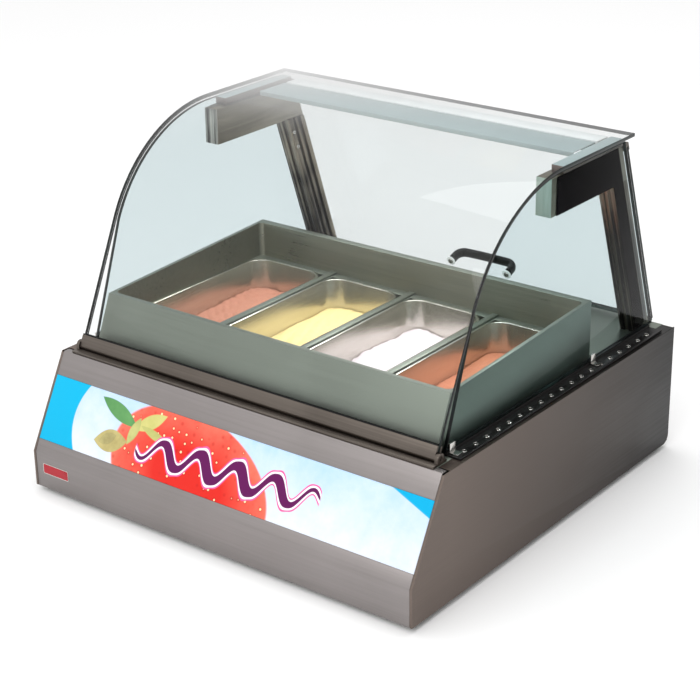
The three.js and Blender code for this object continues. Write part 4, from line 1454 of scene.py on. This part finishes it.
@dataclass
class ServiceFlap:
    """The rear flap: a pane on a hinge profile, with a bowed handle.

    Attributes:
        hinge: The hinge line as (y, z).
        offset: Distance from the hinge line to the middle of the pane.
        lean: Lean of the flap from upright, in radians.
        half_width: Half the pane's width.
        thickness: Thickness of the pane.
        top: Top edge of the pane, down from the hinge.
        length: Bottom edge of the pane, down from the hinge.
        lip: Height of the seal below the pane.
        handle_half: Half the distance between the handle's feet.
        handle_down: The handle's place, down from the hinge.
        leg: Straight part of a handle leg.
        bend: Radius of the handle's corners.
        section: Half sizes of the handle's oval section.
        bow: How much the handle's grip sinks towards its ends.
        polish: Rounding of the pane's edges.
    """

    hinge: tuple[float, float] = (249.0, 588.0)
    offset: float = 6.5
    lean: float = math.atan(REAR_SLOPE)
    half_width: float = 360.0
    thickness: float = 5.0
    top: float = 6.0
    length: float = 368.13
    lip: float = 6.8
    handle_half: float = 62.0
    handle_down: float = 346.13
    leg: float = 11.5
    bend: float = 15.0
    section: tuple[float, float] = (6.4, 9.4)
    bow: float = 1.6
    polish: float = 0.7

    def own_frame(self) -> Matrix:
        """Return the flap's own frame: x across, y outwards, z up the pane from the hinge."""
        out = Vector((0.0, math.cos(self.lean), math.sin(self.lean)))
        up = Vector((0.0, -math.sin(self.lean), math.cos(self.lean)))
        turn = Matrix((Vector((1, 0, 0)), out, up)).transposed().to_4x4()
        return Matrix.Translation(Vector((0.0, *self.hinge)) + out * self.offset) @ turn

    def build(self) -> None:
        """Build the flap."""
        self.build_pane()
        build_all([
            FormedPart("flap_profile", BRONZE_RAIL, 0.4, "bronze_aluminium"),
            FormedPart("flap_rail", WHITE_PAINT, 0.6, "lamp_aluminium"),
        ])
        self.build_seal()
        self.build_handle()
        self.build_bolts()

    def build_pane(self) -> None:
        """Build the pane with polished edges."""
        half = self.thickness / 2
        bm = slab((-self.half_width, -half, -self.length), (self.half_width, half, -self.top))
        for face in bm.faces:
            face.material_index = int(abs(face.normal.y) < 0.5)
        bevel(bm, bm.edges[:], self.polish, material=1)
        bmesh.ops.transform(bm, matrix=self.own_frame(), verts=bm.verts)
        finish_piece(
            "rear_flap_polished", bm, (FLAP_GLASS, GLASS_EDGE), "service_flap", ("rear_flap",)
        )

    def build_seal(self) -> None:
        """Build the lip seal along the bottom edge of the pane."""
        half = self.thickness / 2
        bm = slab(
            (-self.half_width + 2, -half, -self.length - self.lip),
            (self.half_width - 2, half, -self.length - 0.1),
        )
        soften(bm, 0.8)
        bmesh.ops.transform(bm, matrix=self.own_frame(), verts=bm.verts)
        finish_piece("flap_lip_seal", bm, (LIP_SEAL,), "service_flap")

    def build_handle(self) -> None:
        """Build the bowed handle by sweeping an oval round its two corners."""
        seat = self.thickness / 2 + 0.3
        bm = bmesh.new()
        bmesh.ops.create_circle(bm, cap_ends=True, segments=24, radius=1.0)
        bmesh.ops.scale(bm, vec=(self.section[0], self.section[1], 1.0), verts=bm.verts)
        bmesh.ops.rotate(bm, cent=(0, 0, 0), matrix=Matrix.Rotation(-math.pi / 2, 3, "X"), verts=bm.verts)
        start = Vector((-self.handle_half, seat, -self.handle_down))
        bmesh.ops.translate(bm, vec=start, verts=bm.verts)
        tip = bm.faces[:]
        tip = self.grow(bm, tip, Vector((0, self.leg, 0)), 2)
        tip = self.curl(bm, tip, Vector((self.bend, 0, 0)))
        bar = 2 * (self.handle_half - self.bend)
        tip = self.grow(bm, tip, Vector((bar, 0, 0)), 6)
        tip = self.curl(bm, tip, Vector((0, -self.bend, 0)))
        self.grow(bm, tip, Vector((0, -self.leg, 0)), 2)
        drop_inner_faces(bm)
        bmesh.ops.recalc_face_normals(bm, faces=bm.faces)
        for vert in bm.verts:
            along = max(0.0, 1 - (vert.co.x / self.handle_half) ** 2)
            vert.co.y -= 0.0 if vert.co.y < seat + 0.1 else self.bow * (1 - along)
        soften(bm, 0.8, 2, 60.0)
        bmesh.ops.transform(bm, matrix=self.own_frame(), verts=bm.verts)
        finish_piece(
            "flap_handle_bow", bm, (BLACK_TRIM,), "service_flap", ("flap_handle",), 50.0
        )

    @staticmethod
    def grow(
        bm: bmesh.types.BMesh, tip: list[bmesh.types.BMFace], step: Vector, parts: int
    ) -> list[bmesh.types.BMFace]:
        """Extrude the end of a bar straight on.

        Args:
            bm: The bar.
            tip: Its end face.
            step: The whole way to go.
            parts: Number of equal stretches.

        Returns:
            The new end face.
        """
        for _ in range(parts):
            tip = grow_faces(bm, tip, step / parts)
        return tip

    @staticmethod
    def curl(
        bm: bmesh.types.BMesh, tip: list[bmesh.types.BMFace], to_middle: Vector
    ) -> list[bmesh.types.BMFace]:
        """Carry the end of a bar round a quarter turn.

        Args:
            bm: The bar.
            tip: Its end face.
            to_middle: From the end face's middle to the corner's middle.

        Returns:
            The new end face.
        """
        face = tip[0]
        middle = face.calc_center_median() + to_middle
        geometry = bmesh.ops.spin(
            bm, geom=[face, *face.edges, *face.verts], cent=middle, axis=(0, 0, 1), dvec=(0, 0, 0),
            angle=-math.pi / 2, steps=8, use_merge=False, use_normal_flip=False, use_duplicate=False,
        )["geom_last"]
        return only(geometry, bmesh.types.BMFace)

    def build_bolts(self) -> None:
        """Build the washers and bolt heads on the inner face of the pane."""
        washers, heads = [], []
        seat = -self.thickness / 2 - 0.05
        for x in (-self.handle_half, self.handle_half):
            place = Vector((x, seat, -self.handle_down))
            facing = Vector((0, -1, 0))
            washers.append(
                turned([(3.2, 0.0), (9.0, 0.0), (9.2, 0.8), (8.4, 1.6), (3.2, 1.6)], place, facing, 28)
            )
            heads.append(pan_head_screw(place + facing * 0.9, facing, 5.2))
        # The washers take the glowing opal finish, so they glow a little though they are no lamp: painted
        # light.
        for name, shapes, finish in (
            ("handle_washers", washers, OPAL), ("handle_bolts", heads, CHROME),
        ):
            bm = join(shapes)
            bmesh.ops.transform(bm, matrix=self.own_frame(), verts=bm.verts)
            finish_piece(name, bm, (finish,), "service_flap")


@dataclass
class Well:
    """The pan well with its insulation, dividers and cooling coil.

    Attributes:
        rim: Rounding of the tub's folded edges.
        lining_half: Half the width that the bright inner walls stay within.
        lining_low: Height above which the inner walls show.
        lining_margin: How far they may stand past the dividers' ends.
    """

    rim: float = 0.7
    lining_half: float = 350.0
    lining_low: float = 150.0
    lining_margin: float = 2.0

    def build(self) -> None:
        """Build the well."""
        bm = copy_of("well_tub")
        low, high = box_mm("divider_left")
        front, rear = low.y - self.lining_margin, high.y + self.lining_margin
        for face in bm.faces:
            middle = face.calc_center_median()
            inside = abs(middle.x) < self.lining_half and front < middle.y < rear
            wall = abs(face.normal.z) < 0.9 and middle.z > self.lining_low
            face.material_index = int(inside and wall)
        soften(bm, self.rim)
        finish_piece(
            "well_tub_formed", bm, (WELL_STEEL, WELL_INSIDE), "cabinet", ("well_tub",)
        )
        build_all([
            FormedPart("insulation", FOAM, 0.0, "foam"),
            FormedPart("evaporator", COPPER, 0.0, "copper_tube"),
        ])
        build_all([
            FormedPart(f"divider_{name}", WELL_STEEL, 0.4, "stainless_sheet")
            for name in ("left", "middle", "right")
        ])


@dataclass(frozen=True)
class Scooped:
    """How the top of one ice cream is worked.

    Attributes:
        ridge: Height of the spatula ridges.
        ridge_mm: Distance between ridges.
        lump: Height of the broad lumps.
        lump_mm: Size of a lump.
        fine: Height of the torn texture.
        slump: How much lower the front is than the back.
        turn: Direction of the ridges from the pan's length, in radians.
    """

    ridge: float
    ridge_mm: float
    lump: float
    lump_mm: float
    fine: float
    slump: float
    turn: float


@dataclass
class PanWithIceCream:
    """One drawn steel pan and its ice cream.

    Attributes:
        number: The pan's number, from the left.
        top: How the ice cream is worked.
        corner: Radius of the pan's corners.
        rim: Width of the rolled rim.
        wall: Thickness of the steel.
        taper: How much each wall leans in down to the floor.
        floor_round: Rounding between the walls and the floor.
        clearance: How far the pan keeps inside its CAD node's sides.
        skirt: Height of the rim's turned-down lip.
        level: How far the ice cream's middle level is below its highest point.
        deepest: Lowest that a hollow may sink from that level.
        highest: Highest that a ridge may rise above it.
        droop: How much the top sinks at the pan's walls.
        droop_share: Width of that droop, as a share of the half width.
        grid: Number of faces across and along the top.
    """

    number: int
    top: Scooped
    corner: float = 38.0
    rim: float = 5.0
    wall: float = 0.8
    taper: float = 4.0
    floor_round: float = 14.0
    clearance: float = 0.6
    skirt: float = 1.3
    level: float = 8.0
    deepest: float = -14.0
    highest: float = 7.4
    droop: float = 3.5
    droop_share: float = 0.07
    grid: tuple[int, int] = (62, 142)

    def build(self) -> None:
        """Build the pan and its ice cream."""
        self.build_pan()
        self.build_ice_cream()

    def plate(self, half_x: float, half_y: float, corner: float, z: float) -> bmesh.types.BMesh:
        """Make one flat face with round corners, around the pan's middle.

        Args:
            half_x: Half its width.
            half_y: Half its length.
            corner: Radius of its corners.
            z: Its height.

        Returns:
            The face.
        """
        bm = bmesh.new()
        bmesh.ops.create_grid(bm, x_segments=1, y_segments=1, size=1.0)
        bmesh.ops.scale(bm, vec=(half_x, half_y, 1.0), verts=bm.verts)
        bmesh.ops.translate(bm, vec=(0, 0, z), verts=bm.verts)
        bevel(bm, bm.verts[:], corner, 12, affect="VERTICES")
        return bm

    def build_pan(self) -> None:
        """Build the pan from one face: rim, walls, floor and thickness."""
        node = f"pan_{self.number}"
        low, high = box_mm(node)
        middle = (low + high) / 2
        half = (high - low) / 2
        half_x, half_y = half.x - self.clearance, half.y - self.clearance
        bm = self.plate(half_x, half_y, self.corner, high.z - 0.1)
        bmesh.ops.inset_region(
            bm, faces=bm.faces[:], thickness=self.rim, depth=0.0,
            use_even_offset=True, use_boundary=True,
        )
        mouth = [face for face in bm.faces if len(face.verts) > 8]
        depth = high.z - low.z - 1.2
        floor = grow_faces(bm, mouth, Vector((0, 0, -depth)))
        taper = (1 - self.taper / (half_x - self.rim), 1 - self.taper / (half_y - self.rim), 1.0)
        bmesh.ops.scale(bm, vec=taper, verts=list(floor[0].verts))
        base = [
            edge for edge in bm.edges
            if all(abs(v.co.z - (high.z - 0.1 - depth)) < 0.01 for v in edge.verts)
        ]
        bevel(bm, base, self.floor_round, 6)
        skirt = [edge for edge in bm.edges if edge.is_boundary]
        grown = bmesh.ops.extrude_edge_only(bm, edges=skirt)["geom"]
        bmesh.ops.translate(bm, vec=(0, 0, -self.skirt), verts=only(grown, bmesh.types.BMVert))
        folds = [
            edge for edge in bm.edges
            if edge.is_manifold and all(v.co.z > high.z - 0.2 for v in edge.verts)
            and edge.calc_face_angle(0.0) > math.radians(40)
        ]
        bevel(bm, folds, 1.0, 3)
        bmesh.ops.recalc_face_normals(bm, faces=bm.faces)
        if sum(face.normal.z * face.calc_area() for face in bm.faces) < 0:
            bmesh.ops.reverse_faces(bm, faces=bm.faces)
        bmesh.ops.solidify(bm, geom=bm.faces[:], thickness=self.wall)
        bmesh.ops.translate(bm, vec=(middle.x, middle.y, 0), verts=bm.verts)
        finish_piece(f"{node}_drawn", bm, (PAN_STEEL,), BODY_OF[node], (node,), 40.0)

    def height(self, x: float, y: float, half_y: float) -> float:
        """Return how far the top stands above or below its middle level.

        Args:
            x: Place across the pan.
            y: Place along the pan.
            half_y: Half the pan's length.

        Returns:
            The height in millimetres.
        """
        top = self.top
        seed = self.number * 41.7
        broad = noise.noise(Vector((x / top.lump_mm, y / (top.lump_mm * 1.6), seed)))
        across = x * math.cos(top.turn) + y * math.sin(top.turn)
        warp = 9.0 * noise.noise(Vector((x / 60, y / 60, seed + 5)))
        phase = (across + warp) / top.ridge_mm
        ridge = abs(math.sin(math.pi * phase)) ** 0.7 - 0.5
        patch = 0.5 + 0.5 * noise.noise(Vector((x / 45, y / 70, seed + 9)))
        torn = noise.fractal(Vector((x / 9, y / 11, seed + 13)), 0.8, 2.1, 4)
        return (
            top.lump * broad + top.ridge * ridge * patch + top.fine * torn
            + top.slump * y / half_y
        )

    def build_ice_cream(self) -> None:
        """Build the ice cream with a worked top and sides that follow the pan."""
        node = f"ice_cream_{self.number}"
        low, high = box_mm(node)
        middle = (low + high) / 2
        half_x = (high.x - low.x) / 2 - 1.0
        half_y = (high.y - low.y) / 2 - 1.0
        corner = self.corner - self.rim - 3.0
        bm = bmesh.new()
        bmesh.ops.create_grid(bm, x_segments=self.grid[0], y_segments=self.grid[1], size=1.0)
        for vert in bm.verts:
            x, y = vert.co.x * half_x, vert.co.y * half_y
            over_x = max(0.0, abs(x) - (half_x - corner))
            over_y = max(0.0, abs(y) - (half_y - corner))
            if over_x > 0 and over_y > 0:
                pull = max(over_x, over_y) / math.hypot(over_x, over_y)
                x = math.copysign(half_x - corner + over_x * pull, x)
                y = math.copysign(half_y - corner + over_y * pull, y)
            edge = 1 - max(abs(vert.co.x), abs(vert.co.y))
            droop = -self.droop * max(0.0, 1 - edge / self.droop_share) ** 2
            rise = self.height(x, y, half_y) + droop
            vert.co = (x, y, high.z - self.level + max(self.deepest, min(self.highest, rise)))
        grown = bmesh.ops.extrude_face_region(bm, geom=bm.faces[:])["geom"]
        verts = only(grown, bmesh.types.BMVert)
        shrink = (1 - self.taper / half_x, 1 - self.taper / half_y, 0.0)
        bmesh.ops.scale(bm, vec=shrink, verts=verts)
        base = low.z + self.floor_round
        bmesh.ops.translate(bm, vec=(0, 0, base), verts=verts)
        bottom = [face for face in bm.faces if all(v.co.z < base + 0.1 for v in face.verts)]
        bmesh.ops.dissolve_faces(bm, faces=bottom)
        bmesh.ops.recalc_face_normals(bm, faces=bm.faces)
        bmesh.ops.translate(bm, vec=(middle.x, middle.y, 0), verts=bm.verts)
        finish = FLAVOURS[self.number - 1]
        finish_piece(f"{node}_worked", bm, (finish,), BODY_OF[node], (node,), 60.0)


@dataclass
class Machinery:
    """The compressor, condenser and fan behind the rear panel.

    Attributes:
        edge: Rounding of cast and pressed edges.
    """

    edge: float = 1.2

    def build(self) -> None:
        """Build the refrigeration parts."""
        build_all([
            FormedPart("compressor", COMPRESSOR_ENAMEL, self.edge, "compressor_black"),
            FormedPart("condenser", MILL_FIN, 0.3, "condenser_aluminium"),
            FormedPart("condenser_fan", FAN_NYLON, 0.3, "black_plastic"),
            FormedPart("fan_motor", POWDER_BLACK, 0.5, "motor_steel"),
        ])


@dataclass
class Controls:
    """The thermostat knob, the lamp switch and the power inlet on the rear panel.

    Attributes:
        flutes: Number of grip flutes round the knob.
        radius: Radius of the knob.
        height: How far the knob stands out.
        marks: Number of plain marks round the knob.
        panel: The rear panel's outer face, across the cabinet.
        standoff: Gap between the panel and the knob.
    """

    flutes: int = 20
    radius: float = 17.0
    height: float = 8.6
    marks: int = 11
    panel: float = 383.0
    standoff: float = 0.3

    def build(self) -> None:
        """Build the controls."""
        self.build_knob()
        self.build_marks()
        build_all([
            FormedPart("power_inlet", BLACK_TRIM, 0.25, "black_plastic"),
            FormedPart("rocker_switch", SWITCH_RED, 0.4, "switch_red"),
        ])

    def build_knob(self) -> None:
        """Build the knob: a fluted skirt, a raised grip and a pale pointer line."""
        low, high = box_mm("thermostat_knob")
        middle = (low + high) / 2
        face = self.panel + self.standoff
        bm = bmesh.new()
        bmesh.ops.create_circle(bm, cap_ends=True, segments=self.flutes * 4, radius=self.radius)
        for number, vert in enumerate(bm.verts):
            if number % 4 == 0:
                vert.co *= 0.955
        tip = bm.faces[:]
        for rise, shrink in ((self.height - 1.2, 0.97), (1.2, 0.93)):
            tip = grow_faces(bm, tip, Vector((0, 0, rise)))
            bmesh.ops.scale(bm, vec=(shrink, shrink, 1.0), verts=list(tip[0].verts))
        bmesh.ops.recalc_face_normals(bm, faces=bm.faces)
        grip = slab((-2.9, -15.0, self.height - 1.0), (2.9, 15.0, 13.2))
        soften(grip, 1.2, 3)
        shaft = turned([(0.0, -11.8), (2.9, -11.8), (2.9, 0.5), (0.0, 0.5)], Vector(), Vector((0, 0, 1)), 20)
        whole = join([bm, grip, shaft])
        turn = Matrix.Translation((middle.x, face, middle.z)) @ Matrix.Rotation(-math.pi / 2, 4, "X")
        bmesh.ops.transform(whole, matrix=turn, verts=whole.verts)
        finish_piece(
            "thermostat_knob_moulded", whole, (BLACK_TRIM,), "knob", ("thermostat_knob",)
        )
        line = slab(
            (middle.x - 0.7, face + 13.0, middle.z + 5), (middle.x + 0.7, face + 13.35, middle.z + 14)
        )
        # The pointer line takes the glowing opal finish, so it glows a little though it is no lamp: painted
        # light.
        finish_piece("knob_pointer_line", line, (OPAL,), "knob")

    def build_marks(self) -> None:
        """Build the plain marks round the knob."""
        low, high = box_mm("thermostat_knob")
        middle = (low + high) / 2
        marks = []
        for number in range(self.marks):
            angle = math.radians(-135 + 270 * number / (self.marks - 1))
            mark = slab((-0.5, 0.0, 19.0), (0.5, 0.25, 23.0))
            turn = Matrix.Translation((middle.x, self.panel, middle.z)) @ Matrix.Rotation(angle, 4, "Y")
            bmesh.ops.transform(mark, matrix=turn, verts=mark.verts)
            marks.append(mark)
        finish_piece("thermostat_marks", join(marks), (BLACK_TRIM,), "cabinet")


# ---------------------------------------------------------------- studio
@dataclass(frozen=True)
class Softbox:
    """One large soft light.

    Attributes:
        name: Its name.
        place: Where it stands, in metres.
        aim: What it points at.
        width: Its width.
        depth: Its depth.
        power: Its power in watts.
        spread_deg: How wide its light fans out.
    """

    name: str
    place: tuple[float, float, float]
    aim: tuple[float, float, float]
    width: float
    depth: float
    power: float
    spread_deg: float = 180.0


@dataclass
class Studio:
    """The pale floor, the soft light and the camera.

    Attributes:
        eye: The camera's place, in millimetres.
        azimuth_deg: How far round to the right the camera stands.
        elevation_deg: How far above the horizon it stands.
        roll_deg: How far it is rolled.
        lens_mm: Its focal length on a 36 mm sensor.
    """

    eye: tuple[float, float, float] = (1781.2, -2322.5, 1473.8)
    azimuth_deg: float = 37.822
    elevation_deg: float = 23.154
    roll_deg: float = -0.847
    lens_mm: float = 95.05

    def build(self) -> None:
        """Build the studio."""
        self.build_floor()
        self.build_world()
        self.build_lights()
        self.build_camera()
        view = bpy.context.scene.view_settings
        view.view_transform = "Standard"
        view.look = "None"
        bpy.context.scene.cycles.transparent_max_bounces = 24

    def build_floor(self) -> None:
        """Build a plain pale floor."""
        bm = bmesh.new()
        bmesh.ops.create_grid(bm, x_segments=1, y_segments=1, size=40.0)
        mesh = bpy.data.meshes.new("studio_floor")
        bm.to_mesh(mesh)
        bm.free()
        floor = bpy.data.objects.new("studio_floor", mesh)
        bpy.context.scene.collection.objects.link(floor)
        paper = bpy.data.materials.new("studio_paper")
        paper.use_nodes = True
        tree = paper.node_tree
        tree.nodes.clear()
        surface = add_node(
            tree,
            "ShaderNodeBsdfPrincipled",
            {"Base Color": linear("#F4F4F4"), "Roughness": 0.9, "Specular IOR Level": 0.1},
        ).outputs[0]
        add_node(tree, "ShaderNodeOutputMaterial", {"Surface": surface})
        mesh.materials.append(paper)

    def build_world(self) -> None:
        """Build a white room that is brighter to the front left than behind on the right."""
        world = bpy.data.worlds.new("studio_world")
        bpy.context.scene.world = world
        world.use_nodes = True
        tree = world.node_tree
        tree.nodes.clear()
        away = add_node(tree, "ShaderNodeTexCoord").outputs["Generated"]
        toward = add_node(
            tree, "ShaderNodeVectorMath", {0: away, 1: (-0.62, -0.62, 0.48)}, operation="DOT_PRODUCT"
        ).outputs["Value"]
        strength = add_node(
            tree,
            "ShaderNodeMapRange",
            {"Value": toward, "From Min": -1.0, "From Max": 1.0, "To Min": 0.45, "To Max": 1.25},
            interpolation_type="SMOOTHSTEP",
        ).outputs["Result"]
        eye = add_node(tree, "ShaderNodeLightPath").outputs["Is Camera Ray"]
        seen = add_node(
            tree, "ShaderNodeMix", {0: eye, 2: strength, 3: 1.0}, data_type="FLOAT"
        ).outputs[0]
        shine = add_node(
            tree, "ShaderNodeBackground", {"Color": linear("#FFFFFF"), "Strength": seen}
        ).outputs[0]
        add_node(tree, "ShaderNodeOutputWorld", {"Surface": shine})

    def build_lights(self) -> None:
        """Build the two soft lights and the glow of the cabinet's own lamp."""
        for box in (
            Softbox("key_softbox", (0.9, -3.2, 2.7), (0.0, 0.0, 0.3), 2.4, 2.4, 44.0),
            Softbox("top_softbox", (0.15, 0.5, 3.4), (0.0, 0.0, 0.3), 2.0, 2.0, 30.0),
            Softbox("lamp_glow", (0.0, 0.175, 0.562), (0.0, 0.0, 0.2), 0.6, 0.05, 0.8, 100.0),
        ):
            light = bpy.data.lights.new(box.name, "AREA")
            light.shape = "RECTANGLE"
            light.size = box.width
            light.size_y = box.depth
            light.energy = box.power
            light.spread = math.radians(box.spread_deg)
            holder = bpy.data.objects.new(box.name, light)
            bpy.context.scene.collection.objects.link(holder)
            holder.location = box.place
            holder.visible_camera = False
            facing = Vector(box.aim) - Vector(box.place)
            holder.rotation_euler = facing.to_track_quat("-Z", "Y").to_euler()

    def build_camera(self) -> None:
        """Place the camera."""
        azimuth = math.radians(self.azimuth_deg)
        elevation = math.radians(self.elevation_deg)
        roll = math.radians(self.roll_deg)
        back = Vector((
            math.sin(azimuth) * math.cos(elevation),
            -math.cos(azimuth) * math.cos(elevation),
            math.sin(elevation),
        ))
        right = Vector((math.cos(azimuth), math.sin(azimuth), 0.0))
        above = back.cross(right)
        across = right * math.cos(roll) + above * math.sin(roll)
        upward = above * math.cos(roll) - right * math.sin(roll)
        lens = bpy.data.cameras.new("studio_camera")
        lens.lens = self.lens_mm
        lens.sensor_width = 36.0
        holder = bpy.data.objects.new("studio_camera", lens)
        bpy.context.scene.collection.objects.link(holder)
        turn = Matrix((across, upward, back)).transposed().to_4x4()
        holder.matrix_world = Matrix.Translation(Vector(self.eye) * MM) @ turn
        bpy.context.scene.camera = holder


def main() -> None:
    """Build every sub-assembly in order."""
    logging.basicConfig(level=logging.INFO, format="%(name)s: %(message)s")
    tops = (
        Scooped(4.6, 15.0, 5.0, 36.0, 2.6, 2.5, 0.9),
        Scooped(3.6, 21.0, 3.5, 60.0, 0.8, 4.0, 0.25),
        Scooped(3.4, 20.0, 6.0, 30.0, 1.8, 2.0, 0.5),
        Scooped(2.4, 27.0, 4.0, 50.0, 1.2, 4.5, 0.15),
    )
    assemblies: list[Any] = [Casing(), FrontGlass(), SideGlazing(), Canopy(), Lamp(), ServiceFlap(), Well()]
    assemblies += [PanWithIceCream(number + 1, top) for number, top in enumerate(tops)]
    assemblies += [Machinery(), Controls(), Studio()]
    for assembly in assemblies:
        assembly.build()
        LOG.info("built %s", type(assembly).__name__)


if __name__ == "__main__":
    main()
